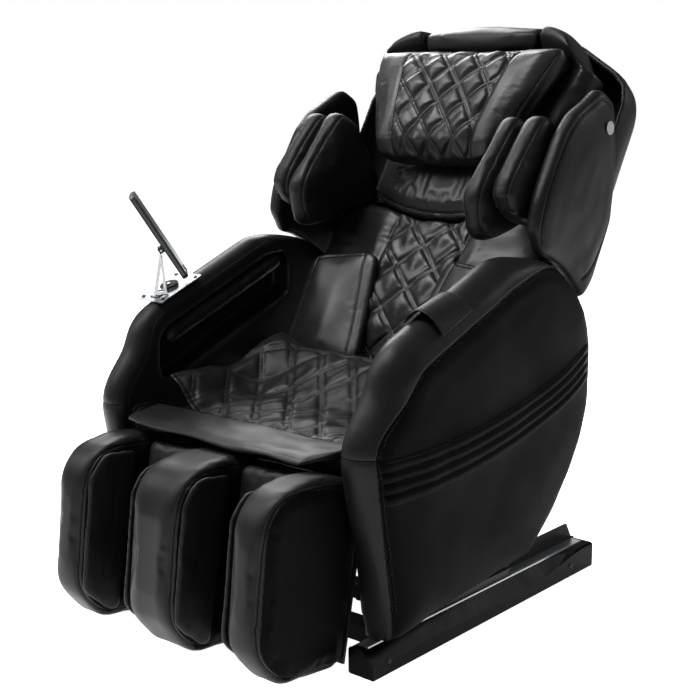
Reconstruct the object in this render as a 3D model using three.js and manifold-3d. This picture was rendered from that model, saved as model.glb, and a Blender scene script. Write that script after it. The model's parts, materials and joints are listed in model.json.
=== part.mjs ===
// Massage recliner: two base rails, a carriage that slides on them with the seat and arms,
// a back that reclines, a leg rest that lifts and lengthens, and a small panel on a stand.
// Millimetres, +Z up. The sitter faces -Y, so "left" is the sitter's left and is at +X.
import * as THREE from 'three';
import { mergeVertices } from 'three/addons/utils/BufferGeometryUtils.js';
import Module from 'manifold-3d';

const wasm = await Module();
wasm.setup();
const deg = THREE.MathUtils.degToRad;
const { lerp, smoothstep, clamp } = THREE.MathUtils;

// ------------------------------------------------------------------ driving dimensions
const FIT = 0.3;                    // gap left between two faces that seat on each other
const EPS = 5;                      // how far a cutting tool runs past the face it opens

// base rails, folded from sheet steel
const RAIL_FRONT = -362;
const RAIL_REAR = 388;
const RAIL_OUT = 352;               // outer upright face, from the middle of the chair
const RAIL_IN = 300;                // inner guide flange
const RAIL_TOP = 52;
const RAIL_SHEET = 4;
const RAIL_CHAMFER = 28;            // sloping band between upright face and top
const RAIL_LIP = 26;                // width of the folded lip that stands on the floor
const FLANGE_TOP = 92;
const SKID_TOP = 100;               // web that carries the arms and reaches over the rail flange
const FLANGE_FRONT = -285;
const BEAM_FRONT = -250;
const BEAM_REAR = 250;
const BEAM_HALF = 20;
const BEAM_HIGH = 34;
const TRACK_THICK = 3;
const TRACK_WIDTH = 26;
const WHEEL_RADIUS = 21;
const WHEEL_WIDTH = 22;
const AXLE_RADIUS = 4;

// carriage and seat
const PLATE_IN = 285.7;             // inner face of the carriage side plates
const PLATE_THICK = 4;
const SEAT_TOP = 398;
const SEAT_THICK = 62;
const SEAT_FRONT = -318;
const SEAT_REAR = 40;
const SEAT_HALF = 262;
const MAT_THICK = 15;
const MAT_FRONT = -300;
const MAT_REAR = 30;
const MAT_HALF = 246;
const MAT_CURL = 74;                // how far the mat's right edge turns up
const SHOE_HIGH = 10;               // glide shoes between carriage and track
const PIN_RADIUS = 8;
const LUG_THICK = 8;
const FLAP_HALF = 266;
const FLAP_FRONT = -398;
const FLAP_REAR = -300;
const FLAP_FRONT_Z = 380;
const FLAP_REAR_Z = 396;
const FLAP_THICK = 8;
const FLAP_CORNER = 44;             // how far its left front corner is folded back

// arms
const ARM_IN = 290;                 // inner face of the arm
const ARM_SEAM = 366;               // seam between crown and side panel
const ARM_BULGE = 18;               // how far the side panel swells past the seam
const ARM_CROWN = 32;               // how far the crown stands above the seam
const ARM_WALL = 9;
const ARM_FRONT = -318;             // front edge at the foot of the arm
const ARM_FOOT_REAR = 112;
const ARM_CAVITY_IN = 298;          // the hollow foot of the arm takes the rail flange
const ARM_CAVITY_TOP = 420;
const CROWN_START = { y: -249, z: 572 };      // where the crown begins to fall to the knuckle
const CHANNEL_FRONT = -262;         // forearm channel
const CHANNEL_REAR = 120;
const CHANNEL_OUT = 342;
const CHANNEL_DROP = 138;           // channel floor below the crown line
const CHANNEL_ROOF = 30;
const ROLL_THICK = 42;
const RIB_COUNT = 4;
const RIB_PITCH = 20;
const RIB_RISE = 6;
const STRAP = { front: -212, rear: -118, arch: 15, gap: 1.6, thick: 4 };
const ARM_ARC = { y: 112, z: 472, r: 224 };   // round upper rear of the arm
const ARM_SLOPE = deg(21.2);          // the crown falls this much towards the hand

// back, in its own frame: z runs up the back, -y is the side that the sitter touches
const BACK_PIVOT = { y: 85, z: 436 };
const BACK_LEAN = deg(31);
const BACK_HALF = 240;              // cushion half width at the hips
const SHOULDER_HALF = 200;          // cushion half width between the shoulder pads
const CUSHION_DEPTH = 44;
const CUSHION_BOTTOM = -14;
const CUSHION_TOP = 412;
const CUSHION_SCOOP = 46;           // the top edge dips towards the middle
const FRAME_FRONT_GAP = -44;        // back of the cushions, behind the pivot
const NECK_TOP = 558;
const NECK_GAP = 3;
const FRAME_FRONT = 44.3;
const FRAME_REAR = 140;
const FRAME_X = 160;                // inner face of the frame's side channels
const FRAME_SHEET = 8;
const SHELL_RIM = 46;
const SHELL_BACK = 162;             // rear wall of the shell, behind the pivot
const SHELL_PROUD = 18;             // shell beside the inner face of the wings
const SHELL_HIP = 246;
const SHELL_TOP = 834;
const SHELL_WALL = 8;
const BRACKET_THICK = 3.6;          // plate between the shoulder pads and the wing
const WING_THICK = 46;
const WING_ARC = 278;               // lower edge of the wing, about the back pivot
const PILLOW_HALF = { bottom: 152, top: 248 };
const PILLOW_THICK = 90;
const PILLOW_REST = 20.4;             // back of the pillow, in front of the pivot
const PILLOW_BOTTOM = 462;
const PILLOW_TOP = 728;
const PAD_THICK = 62;
const PAD_SWELL = { front: 5, back: 4 };
const HOOD_MIDDLE = 150;
const HOOD_BACK = 44;
const HOOD_TOP = 820;
const HOOD_STEP = { from: 8, to: 46 };        // above the pillow, where the hood comes forward
const HOOD_THICK = 60;
const HOOD_PROUD = 52;
const HIP_SEAT = 6.7;                          // the cushion's crown under the hip pads
const HIP_THICK = 30;
const BADGE = { y: -13, z: 586, radius: 14, thick: 2, inset: 2.2 };   // inset by the fall of the wing's face there

// massage mechanism, inside the shell
const MECH = { z: 240, high: 84, front: 110, rear: 122 };
const KNEAD = { x: 62, thick: 8, reach: 70, y: 84, shaft: 6 };
const ROLLER = { radius: 24, width: 28, bore: 5 };

// leg rest, in its own frame: -z runs down the leg, -y is the side of the calves
const LEG_PIVOT = { y: -330, z: 380 };
const LEG_LEAN = deg(12);
const LEG_HALF = 280;
const LEG_DEPTH = 205;              // front of the fins, from the hinge line
const LEG_BACK = 50;                // rear face, behind the hinge line
const LEG_LENGTH = 376;
const FIN_HALF = 64;                // half width of the middle fin
const FIN_IN = 194;                 // inner face of the outer fins
const CELL_THICK = 13;              // air cell on each wall of a calf channel
const CALF_PAD_FRONT = 84;
const RUNNER_X = 200;

// panel on its stand, on the right arm
const TABLET = { width: 112, height: 196, thick: 11, lug: 70, arm: 13.5 };
const PLATE = { x0: -364, x1: -286, y0: -262, y1: -150, thick: 2.5 };

// quilting: half the width and half the height of one diamond, and how proud it stands
const DIAMOND = { x: 43, y: 49, rise: 13 };
const QUILT_HALF = { back: 5, pillow: 6 };     // columns of quilting on each side of the middle

// ------------------------------------------------------------------ shape helpers
function bare(geometry) {
  const copy = geometry.clone();
  for (const name of Object.keys(copy.attributes)) {
    if (name !== 'position') copy.deleteAttribute(name);
  }
  return mergeVertices(copy, 1e-4);
}

function toSolid(geometry) {
  const merged = bare(geometry);
  return new wasm.Manifold(new wasm.Mesh({
    numProp: 3,
    vertProperties: new Float32Array(merged.attributes.position.array),
    triVerts: new Uint32Array(merged.index.array),
  }));
}

function toGeometry(solid) {
  const mesh = solid.getMesh();
  const geometry = new THREE.BufferGeometry();
  geometry.setAttribute('position', new THREE.BufferAttribute(mesh.vertProperties, 3));
  geometry.setIndex(new THREE.BufferAttribute(mesh.triVerts, 1));
  return geometry;
}

const join = (first, ...rest) => toGeometry(
  rest.reduce((sum, piece) => sum.add(toSolid(piece)), toSolid(first)));
const cut = (first, ...tools) => toGeometry(
  tools.reduce((left, tool) => left.subtract(toSolid(tool)), toSolid(first)));

function box(x0, x1, y0, y1, z0, z1) {
  const geometry = new THREE.BoxGeometry(x1 - x0, y1 - y0, z1 - z0);
  return geometry.translate((x0 + x1) / 2, (y0 + y1) / 2, (z0 + z1) / 2);
}

// A round bar or disc along X.
function barX(radius, x0, x1, y, z, sides = 20) {
  const geometry = new THREE.CylinderGeometry(radius, radius, x1 - x0, sides);
  return geometry.rotateZ(Math.PI / 2).translate((x0 + x1) / 2, y, z);
}

function mirrorX(geometry) {
  const copy = bare(geometry);
  copy.scale(-1, 1, 1);
  const index = copy.index.array;
  for (let i = 0; i < index.length; i += 3) [index[i + 1], index[i + 2]] = [index[i + 2], index[i + 1]];
  return copy;
}

// Local (u, v, w) becomes (w, u, v): an outline in the side view, thick along X.
function sideways(geometry, x = 0) {
  const basis = new THREE.Matrix4().makeBasis(
    new THREE.Vector3(0, 1, 0), new THREE.Vector3(0, 0, 1), new THREE.Vector3(1, 0, 0));
  return geometry.applyMatrix4(basis).translate(x, 0, 0);
}

// Local (u, v, w) becomes (u, -w, v): an outline in the front view, thick towards the sitter.
const facing = (geometry, y = 0) => geometry.rotateX(Math.PI / 2).translate(0, y, 0);

// Corners given as [x, y, radius]; each rounded corner takes steps + 1 points.
function rounded(corners, steps = 3) {
  const points = [];
  corners.forEach(([x, y, radius], i) => {
    const here = new THREE.Vector2(x, y);
    if (!radius) {
      points.push(here);
      return;
    }
    const before = new THREE.Vector2(...corners.at(i - 1).slice(0, 2)).sub(here).normalize();
    const after = new THREE.Vector2(...corners[(i + 1) % corners.length].slice(0, 2)).sub(here).normalize();
    const half = Math.acos(clamp(before.dot(after), -1, 1)) / 2;
    const middle = before.clone().add(after).normalize().multiplyScalar(radius / Math.sin(half)).add(here);
    const from = here.clone().addScaledVector(before, radius / Math.tan(half)).sub(middle);
    const to = here.clone().addScaledVector(after, radius / Math.tan(half)).sub(middle);
    const turn = Math.atan2(from.cross(to), from.dot(to));
    for (let k = 0; k <= steps; k += 1) {
      points.push(from.clone().rotateAround(new THREE.Vector2(), turn * k / steps).add(middle));
    }
  });
  return points;
}

// Move a closed outline outwards by a distance, or by distance(index) at each point.
function outset(points, distance) {
  const sign = THREE.ShapeUtils.area(points) > 0 ? 1 : -1;
  return points.map((point, i) => {
    const a = points.at(i - 1);
    const b = points[(i + 1) % points.length];
    const inward = new THREE.Vector2().subVectors(point, a).normalize();
    const outward = new THREE.Vector2().subVectors(b, point).normalize();
    const along = inward.add(outward).normalize();
    const by = typeof distance === 'function' ? distance(i) : distance;
    return new THREE.Vector2(point.x + sign * along.y * by, point.y - sign * along.x * by);
  });
}

function capFaces(ring, forward) {
  const normal = new THREE.Vector3();
  ring.forEach((p, i) => {
    const q = ring[(i + 1) % ring.length];
    normal.x += (p.y - q.y) * (p.z + q.z);
    normal.y += (p.z - q.z) * (p.x + q.x);
    normal.z += (p.x - q.x) * (p.y + q.y);
  });
  normal.normalize();
  const turn = new THREE.Quaternion().setFromUnitVectors(normal, new THREE.Vector3(0, 0, 1));
  const flat = ring.map((p) => {
    const q = p.clone().applyQuaternion(turn);
    return new THREE.Vector2(q.x, q.y);
  });
  return THREE.ShapeUtils.triangulateShape(flat, []).map(([a, b, c]) => {
    const area = flat[b].clone().sub(flat[a]).cross(flat[c].clone().sub(flat[a]));
    return (area > 0) === forward ? [a, b, c] : [a, c, b];
  });
}

// Skin a row of rings, each with the same number of points, and close both ends.
function loft(rings) {
  const count = rings[0].length;
  const faces = [];
  for (let r = 0; r + 1 < rings.length; r += 1) {
    for (let i = 0; i < count; i += 1) {
      const a = r * count + i;
      const b = r * count + (i + 1) % count;
      faces.push([a, b, b + count], [a, b + count, a + count]);
    }
  }
  const last = (rings.length - 1) * count;
  capFaces(rings[0], false).forEach((face) => faces.push(face));
  capFaces(rings.at(-1), true).forEach((face) => faces.push(face.map((k) => k + last)));
  return fromFaces(rings.flat(), faces);
}

// A closed geometry from points and faces, turned inside out if its volume comes out negative.
function fromFaces(points, faces) {
  let volume = 0;
  const across = new THREE.Vector3();
  for (const [a, b, c] of faces) volume += points[a].dot(across.crossVectors(points[b], points[c]));
  const geometry = new THREE.BufferGeometry();
  geometry.setFromPoints(points);
  geometry.setIndex(faces.flatMap(([a, b, c]) => (volume > 0 ? [a, b, c] : [a, c, b])));
  return geometry;
}

const ring = (points, w) => points.map((p) => new THREE.Vector3(p.x, p.y, w));

// A flat outline from w = 0 to depth.
function prism(points, depth) {
  return loft([ring(points, 0), ring(points, depth)]);
}

// A cushion: an outline in (u, v), thick from 0 to depth along w, its front edge rolled over
// with the radius edge and its face crowned, its back edge rolled by rear.
function cushion(outline, depth, { edge = 12, crown = 8, rear = 3, rearCrown = 0 } = {}) {
  const middle = outline.reduce((sum, p) => sum.add(p), new THREE.Vector2()).divideScalar(outline.length);
  const shrink = (points, k) => points.map((p) => p.clone().sub(middle).multiplyScalar(k).add(middle));
  const rings = [];
  const back = outset(outline, -rear);
  if (rearCrown) {
    for (const k of [0.45, 0.8]) rings.push(ring(shrink(back, k), -rearCrown * (1 - k * k)));
  }
  rings.push(ring(back, 0), ring(outset(outline, -rear * 0.3), rear * 0.7));
  rings.push(ring(outline, Math.max(rear * 1.6, (depth - edge) * 0.5)));
  for (const angle of [20, 50, 90]) {
    const inset = edge * (1 - Math.cos(deg(angle)));
    rings.push(ring(outset(outline, -inset), depth - edge * (1 - Math.sin(deg(angle)))));
  }
  const front = outset(outline, -edge);
  for (const k of [0.8, 0.45]) rings.push(ring(shrink(front, k), depth + crown * (1 - k * k)));
  return loft(rings);
}

// How far a quilted face stands above its stitch lines at (x, y): 0 on a line, 1 mid diamond.
function quiltRise(x, y) {
  const p = x / DIAMOND.x + y / DIAMOND.y;
  const q = x / DIAMOND.x - y / DIAMOND.y;
  return Math.sqrt(Math.abs(Math.sin(Math.PI * p / 2) * Math.sin(Math.PI * q / 2)));
}

// A pad over a grid: columns and rows are counted in quarter diamonds, plan(i, j) gives the
// place of a grid point and height(i, j) its front face; the back is flat at w = 0.
function gridPad(columns, rows, plan, height) {
  const points = [];
  const faces = [];
  const at = (i, j) => j * (columns + 1) + i;
  for (let j = 0; j <= rows; j += 1) {
    for (let i = 0; i <= columns; i += 1) {
      const [x, y] = plan(i, j);
      points.push(new THREE.Vector3(x, y, height(i, j)));
    }
  }
  for (let j = 0; j < rows; j += 1) {
    for (let i = 0; i < columns; i += 1) {
      const rising = (i - j - columns / 2) % 4 === 0 || (i + j + 1 - columns / 2) % 4 !== 0;
      const [a, b, c, d] = [at(i, j), at(i + 1, j), at(i + 1, j + 1), at(i, j + 1)];
      if (rising) faces.push([a, b, c], [a, c, d]);
      else faces.push([a, b, d], [b, c, d]);
    }
  }
  const edge = [];
  for (let i = 0; i < columns; i += 1) edge.push(at(i, 0));
  for (let j = 0; j < rows; j += 1) edge.push(at(columns, j));
  for (let i = columns; i > 0; i -= 1) edge.push(at(i, rows));
  for (let j = rows; j > 0; j -= 1) edge.push(at(0, j));
  const start = points.length;
  edge.forEach((k) => points.push(points[k].clone().setZ(0)));
  edge.forEach((k, n) => {
    const next = (n + 1) % edge.length;
    faces.push([edge[next], k, start + n], [edge[next], start + n, start + next]);
  });
  capFaces(points.slice(start), false).forEach((face) => faces.push(face.map((k) => k + start)));
  return fromFaces(points, faces);
}

// ------------------------------------------------------------------ materials and nodes
const finish = (color, roughness, metalness) => ({ color, roughness, metalness });
const LEATHER = finish(0x1b1b1c, 0.42, 0);
const GLOSS_STEEL = finish(0x0d0d0e, 0.25, 0.4);
const FRAME_STEEL = finish(0x2a2b2d, 0.5, 0.6);
const BRIGHT_STEEL = finish(0xc9cbcc, 0.3, 0.9);
const BLACK_PLASTIC = finish(0x151516, 0.55, 0);
const RUBBER = finish(0x161616, 0.85, 0);

const chair = new THREE.Group();
const base = new THREE.Group();
const carriage = new THREE.Group();
const back = new THREE.Group();
const leg = new THREE.Group();
chair.add(base, carriage, back, leg);
back.position.set(0, BACK_PIVOT.y, BACK_PIVOT.z);
back.rotation.x = -BACK_LEAN;
leg.position.set(0, LEG_PIVOT.y, LEG_PIVOT.z);
leg.rotation.x = -LEG_LEAN;

function node(group, name, geometry, look) {
  const mesh = new THREE.Mesh(bare(geometry), new THREE.MeshStandardMaterial(look));
  mesh.name = name;
  group.add(mesh);
  return mesh;
}

// Both sides of the chair from one left-hand shape.
function pair(group, name, geometry, look) {
  node(group, `${name}_left`, geometry, look);
  node(group, `${name}_right`, mirrorX(geometry), look);
}

// A closed sheet between two grids of points.
function slab(columns, rows, low, high) {
  const points = [];
  for (const side of [low, high]) {
    for (let j = 0; j <= rows; j += 1) for (let i = 0; i <= columns; i += 1) points.push(side(i, j));
  }
  const half = (columns + 1) * (rows + 1);
  const at = (i, j, side) => side * half + j * (columns + 1) + i;
  const faces = [];
  for (let j = 0; j < rows; j += 1) {
    for (let i = 0; i < columns; i += 1) {
      for (const side of [0, 1]) {
        const [a, b, c, d] = [at(i, j, side), at(i + 1, j, side), at(i + 1, j + 1, side), at(i, j + 1, side)];
        faces.push(side ? [a, b, c] : [a, c, b], side ? [a, c, d] : [a, d, c]);
      }
    }
  }
  const rim = (a, b) => faces.push([a[0], b[0], b[1]], [a[0], b[1], a[1]]);
  for (let i = 0; i < columns; i += 1) {
    rim([at(i, 0, 0), at(i, 0, 1)], [at(i + 1, 0, 0), at(i + 1, 0, 1)]);
    rim([at(i + 1, rows, 0), at(i + 1, rows, 1)], [at(i, rows, 0), at(i, rows, 1)]);
  }
  for (let j = 0; j < rows; j += 1) {
    rim([at(columns, j, 0), at(columns, j, 1)], [at(columns, j + 1, 0), at(columns, j + 1, 1)]);
    rim([at(0, j + 1, 0), at(0, j + 1, 1)], [at(0, j, 0), at(0, j, 1)]);
  }
  return fromFaces(points, faces);
}
// ------------------------------------------------------------------ base
// Section of the folded rail at y: outer wall, sloping band, top and inner flange, as a sheet.
function railSection(y) {
  const rise = smoothstep(y, 150, RAIL_REAR - 30);
  const shoulder = lerp(RAIL_TOP - RAIL_CHAMFER, RAIL_TOP - 3, rise);
  const step = lerp(RAIL_CHAMFER, 5, rise);
  const t = RAIL_SHEET;
  return [
    [RAIL_OUT - RAIL_LIP, 0], [RAIL_OUT, 0], [RAIL_OUT, shoulder], [RAIL_OUT - step, RAIL_TOP],
    [RAIL_IN + t, RAIL_TOP], [RAIL_IN + t, FLANGE_TOP], [RAIL_IN, FLANGE_TOP],
    [RAIL_IN, RAIL_TOP - t], [RAIL_OUT - step - t * 0.45, RAIL_TOP - t],
    [RAIL_OUT - t, shoulder - t * 0.45], [RAIL_OUT - t, t], [RAIL_OUT - RAIL_LIP, t],
  ].map(([x, z]) => new THREE.Vector3(x, y, z));
}

// The bright track lies on the rail beside the flange.
const TRACK_IN = RAIL_IN + RAIL_SHEET + 0.5;
const TRACK_TOP = RAIL_TOP + FIT + TRACK_THICK;
const WHEEL_Y = RAIL_REAR - 14;
const WHEEL_Z = WHEEL_RADIUS + RAIL_SHEET + 0.5;

function baseRail() {
  const stations = [RAIL_FRONT, -120, 150, 200, 250, 300, 335, RAIL_REAR - 30, RAIL_REAR];
  const sheet = loft(stations.map(railSection));
  const endPlate = prism(rounded([
    [RAIL_IN - 6, 0.5, 4], [RAIL_OUT - 0.5, 0.5, 6], [RAIL_OUT - 0.5, RAIL_TOP - RAIL_CHAMFER, 0],
    [RAIL_OUT - RAIL_CHAMFER, RAIL_TOP - 0.5, 0], [RAIL_IN - 6, RAIL_TOP - 0.5, 6],
  ]), RAIL_SHEET);
  const cheek = box(RAIL_IN, RAIL_IN + RAIL_SHEET, WHEEL_Y - 42, RAIL_REAR, RAIL_SHEET, RAIL_TOP - 1);
  const ends = sideways(prism([
    new THREE.Vector2(RAIL_REAR - 34, FLANGE_TOP + EPS), new THREE.Vector2(RAIL_REAR + EPS, FLANGE_TOP + EPS),
    new THREE.Vector2(RAIL_REAR + EPS, RAIL_TOP + 4), new THREE.Vector2(RAIL_REAR - 10, RAIL_TOP + 4),
  ], 30), RAIL_IN - EPS);
  const start = box(RAIL_IN - EPS, TRACK_IN, RAIL_FRONT - EPS, FLANGE_FRONT, RAIL_TOP, FLANGE_TOP + EPS);
  const axle = barX(AXLE_RADIUS, RAIL_IN + 1, RAIL_OUT - 1, WHEEL_Y, WHEEL_Z, 12);
  return cut(join(sheet, facing(endPlate, RAIL_FRONT + RAIL_SHEET), cheek, axle), ends, start);
}

function makeBase() {
  pair(base, 'base_rail', baseRail(), GLOSS_STEEL);
  const track = box(TRACK_IN, TRACK_IN + TRACK_WIDTH, RAIL_FRONT + 12, RAIL_REAR - 14,
    RAIL_TOP + FIT, TRACK_TOP);
  pair(base, 'slide_track', track, BRIGHT_STEEL);
  const beamEnd = RAIL_OUT - RAIL_CHAMFER - RAIL_SHEET;
  const beamTop = RAIL_TOP - RAIL_SHEET - FIT;
  for (const [name, y] of [['front', BEAM_FRONT], ['rear', BEAM_REAR]]) {
    const tube = cut(
      box(-beamEnd, beamEnd, y - BEAM_HALF, y + BEAM_HALF, beamTop - BEAM_HIGH, beamTop),
      box(-beamEnd - EPS, beamEnd + EPS, y - BEAM_HALF + 3, y + BEAM_HALF - 3,
        beamTop - BEAM_HIGH + 3, beamTop - 3));
    node(base, `base_${name}_beam`, tube, FRAME_STEEL);
  }
  const wheelX = (RAIL_IN + RAIL_OUT) / 2;
  const bore = AXLE_RADIUS + FIT;
  const tyre = [[bore, -WHEEL_WIDTH / 2], [WHEEL_RADIUS - 4, -WHEEL_WIDTH / 2],
    [WHEEL_RADIUS, -WHEEL_WIDTH / 4], [WHEEL_RADIUS, WHEEL_WIDTH / 4],
    [WHEEL_RADIUS - 4, WHEEL_WIDTH / 2], [bore, WHEEL_WIDTH / 2], [bore, -WHEEL_WIDTH / 2]];
  const wheel = new THREE.LatheGeometry(tyre.map(([r, h]) => new THREE.Vector2(r, h)), 16);
  pair(base, 'transport_wheel', wheel.rotateZ(Math.PI / 2).translate(wheelX, WHEEL_Y, WHEEL_Z), RUBBER);
}

// ------------------------------------------------------------------ carriage
const crownLine = (y) => CROWN_START.z + Math.tan(ARM_SLOPE) * (y - CROWN_START.y);

// Side view of the arm at its seam: foot, front edge, knuckle, falling crown, round rear.
function armOutline() {
  const top = ARM_ARC.r;
  const path = new THREE.Path();
  path.moveTo(ARM_FOOT_REAR, 106);
  path.lineTo(-125, 84);
  path.lineTo(ARM_FRONT, 64);
  path.bezierCurveTo(ARM_FRONT - 6, 190, -350, 270, -362, 392);
  path.bezierCurveTo(-368, 440, -322, 470, -304, 500);
  path.bezierCurveTo(-292, 530, -290, 555, CROWN_START.y, CROWN_START.z);
  path.lineTo(ARM_ARC.y - top * Math.sin(ARM_SLOPE), ARM_ARC.z + top * Math.cos(ARM_SLOPE));
  path.absarc(ARM_ARC.y, ARM_ARC.z, top, Math.PI / 2 + ARM_SLOPE, deg(-5), true);
  const [endY, endZ] = [path.currentPoint.x, path.currentPoint.y];
  path.bezierCurveTo(endY + 6, endZ - 115, 268, 205, ARM_FOOT_REAR, 106);
  const points = [];
  path.curves.forEach((curve) => {
    const count = curve.isLineCurve ? Math.ceil(curve.getLength() / 140) : curve.isEllipseCurve ? 10 : 5;
    for (let k = 0; k < count; k += 1) points.push(curve.getPoint(k / count));
  });
  return points;
}

// How far the padded crown stands out from the seam outline, 0 to 1.
function crownWeight(point) {
  const round = Math.atan2(point.y - ARM_ARC.z, point.x - ARM_ARC.y);
  if (point.x > ARM_ARC.y) return 0.3 * smoothstep(round, deg(45), deg(90));
  const foot = 0.25 + 0.75 * smoothstep(point.y, 150, 420);
  return foot * (1 - 0.7 * smoothstep(point.x, 30, ARM_ARC.y));
}

// Stations of the arm across its width: [x, rise of the crown] and [x, shrink of the side].
const CROWN_STATIONS = [[ARM_IN, 9], [ARM_IN + 5, 21], [ARM_IN + 17, ARM_CROWN - 2], [ARM_IN + 34, ARM_CROWN],
  [ARM_SEAM - 20, 21], [ARM_SEAM - 7, 8], [ARM_SEAM, 0]];
const SIDE_STATIONS = [[ARM_SEAM + ARM_BULGE * 0.3, 0.965], [ARM_SEAM + ARM_BULGE * 0.7, 0.87],
  [ARM_SEAM + ARM_BULGE * 0.93, 0.7], [ARM_SEAM + ARM_BULGE, 0.42]];
const ARM_MIDDLE = new THREE.Vector2(-10, 385);

function crownRise(x) {
  for (let k = 1; k < CROWN_STATIONS.length; k += 1) {
    const [x0, rise0] = CROWN_STATIONS[k - 1];
    const [x1, rise1] = CROWN_STATIONS[k];
    if (x <= x1) return rise0 + (rise1 - rise0) * (x - x0) / (x1 - x0);
  }
  return 0;
}

// x of the swelling side panel at a point of the side view.
function sideAt(point, outline) {
  const away = point.clone().sub(ARM_MIDDLE);
  let fraction = 1;
  outline.forEach((a, i) => {
    const b = outline[(i + 1) % outline.length];
    const edge = b.clone().sub(a);
    const reach = edge.cross(ARM_MIDDLE.clone().sub(a)) / edge.cross(away) * -1;
    const along = away.cross(a.clone().sub(ARM_MIDDLE)) / away.cross(edge) * -1;
    if (reach > 0 && along >= 0 && along <= 1) fraction = 1 / reach;
  });
  const table = [[ARM_SEAM, 1], ...SIDE_STATIONS];
  for (let k = 1; k < table.length; k += 1) {
    const [x0, f0] = table[k - 1];
    const [x1, f1] = table[k];
    if (fraction >= f1) return x0 + (x1 - x0) * (f0 - fraction) / (f0 - f1);
  }
  return ARM_SEAM + ARM_BULGE;
}

// Padded rib number k of the side panel, sweeping from the front seam up to the rear.
function armRib(k, outline) {
  const share = (k + 0.5) / RIB_COUNT;
  const rings = [];
  for (let n = 0; n <= 6; n += 1) {
    const t = n / 6;
    const y = lerp(-346, 300, t);
    const z = lerp(406, 324, share) + lerp(104, 108, share) * t ** 2.3;
    const x = sideAt(new THREE.Vector2(y, z), outline);
    const high = RIB_RISE * Math.min(1, 6 * t + 0.25, 6 * (1 - t) + 0.25);
    rings.push([0, 1, 2, 3, 4].map((side) => {
      const angle = Math.PI * side / 4;
      const half = RIB_PITCH / 2 * 0.9;
      return new THREE.Vector3(x - 3 + (high + 3) * Math.sin(angle), y, z - half * Math.cos(angle));
    }));
  }
  return loft(rings);
}

function armShell() {
  const outline = armOutline();
  const weight = outline.map(crownWeight);
  const shrink = (k) => outline.map((p) => p.clone().sub(ARM_MIDDLE).multiplyScalar(k).add(ARM_MIDDLE));
  const across = (points, x) => points.map((p) => new THREE.Vector3(x, p.x, p.y));
  const pod = loft([
    ...CROWN_STATIONS.map(([x, rise]) => across(outset(outline, (i) => rise * weight[i]), x)),
    ...SIDE_STATIONS.map(([x, k]) => across(shrink(k), x)),
  ]);
  const ribs = Array.from({ length: RIB_COUNT }, (_, k) => armRib(k, outline));
  const cavityOut = ARM_SEAM - ARM_WALL - 4;
  const inside = sideways(prism(outset(outline, -ARM_WALL - 4), cavityOut - ARM_CAVITY_IN), ARM_CAVITY_IN);
  const hollow = toGeometry(toSolid(inside)
    .intersect(toSolid(box(0, ARM_SEAM, -500, 500, 0, ARM_CAVITY_TOP)))
    .add(toSolid(box(ARM_CAVITY_IN, cavityOut, ARM_FRONT + ARM_WALL + 2, ARM_FOOT_REAR - 16, 0, 170))));
  const skidGap = box(ARM_IN - EPS, ARM_CAVITY_IN + 1, -500, 500, 0, SKID_TOP + FIT);
  return cut(join(pod, ...ribs), hollow, skidGap, forearmChannel());
}

// The forearm lies in this channel, open to the seat and at its rear.
function forearmChannel() {
  const outline = rounded([
    [CHANNEL_FRONT, crownLine(CHANNEL_FRONT) - CHANNEL_DROP, 22],
    [CHANNEL_REAR, crownLine(CHANNEL_REAR) - CHANNEL_DROP, 22],
    [CHANNEL_REAR, crownLine(CHANNEL_REAR) - CHANNEL_ROOF, 30],
    [CHANNEL_FRONT, crownLine(CHANNEL_FRONT) - CHANNEL_ROOF, 30],
  ]);
  return sideways(prism(outline, CHANNEL_OUT - ARM_IN + EPS), ARM_IN - EPS);
}

// Points in the side view that run parallel to the crown, from y0 to y1 and from low to high below it.
const alongCrown = (y0, y1, low, high, radius) => rounded([
  [y0, crownLine(y0) - low, radius], [y1, crownLine(y1) - low, radius],
  [y1, crownLine(y1) - high, radius], [y0, crownLine(y0) - high, radius]]);

function makeArms() {
  pair(carriage, 'arm_shell', armShell(), LEATHER);
  const roll = cushion(
    alongCrown(CHANNEL_FRONT + 20, CHANNEL_REAR - 20, CHANNEL_ROOF + ROLL_THICK, CHANNEL_ROOF + FIT, 15),
    30, { edge: 11, crown: 0, rear: 11 });
  pair(carriage, 'forearm_roll', sideways(roll, ARM_IN - 1), LEATHER);
}

// The hand passes under this strap, which arches over the crown of the left arm.
function handStrap() {
  const rows = 4;
  const columns = 8;
  const top = (i, j, lift) => {
    const x = lerp(ARM_IN + 8, ARM_SEAM - 6, i / columns);
    const y = lerp(STRAP.front, STRAP.rear, j / rows) + (x - ARM_IN) * 0.35;
    const arch = STRAP.arch * Math.sin(Math.PI * i / columns) ** 0.7 * (1 - j / rows) ** 0.8;
    const crown = crownLine(y) + crownRise(x) / Math.cos(ARM_SLOPE);
    return new THREE.Vector3(x, y, crown + STRAP.gap + arch + lift);
  };
  return slab(columns, rows, (i, j) => top(i, j, 0), (i, j) => top(i, j, STRAP.thick));
}

// ------------------------------------------------------------------ seat
const SHOE_BOTTOM = TRACK_TOP + FIT;
const PAN_TOP = SEAT_TOP - SEAT_THICK - FIT;

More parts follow.
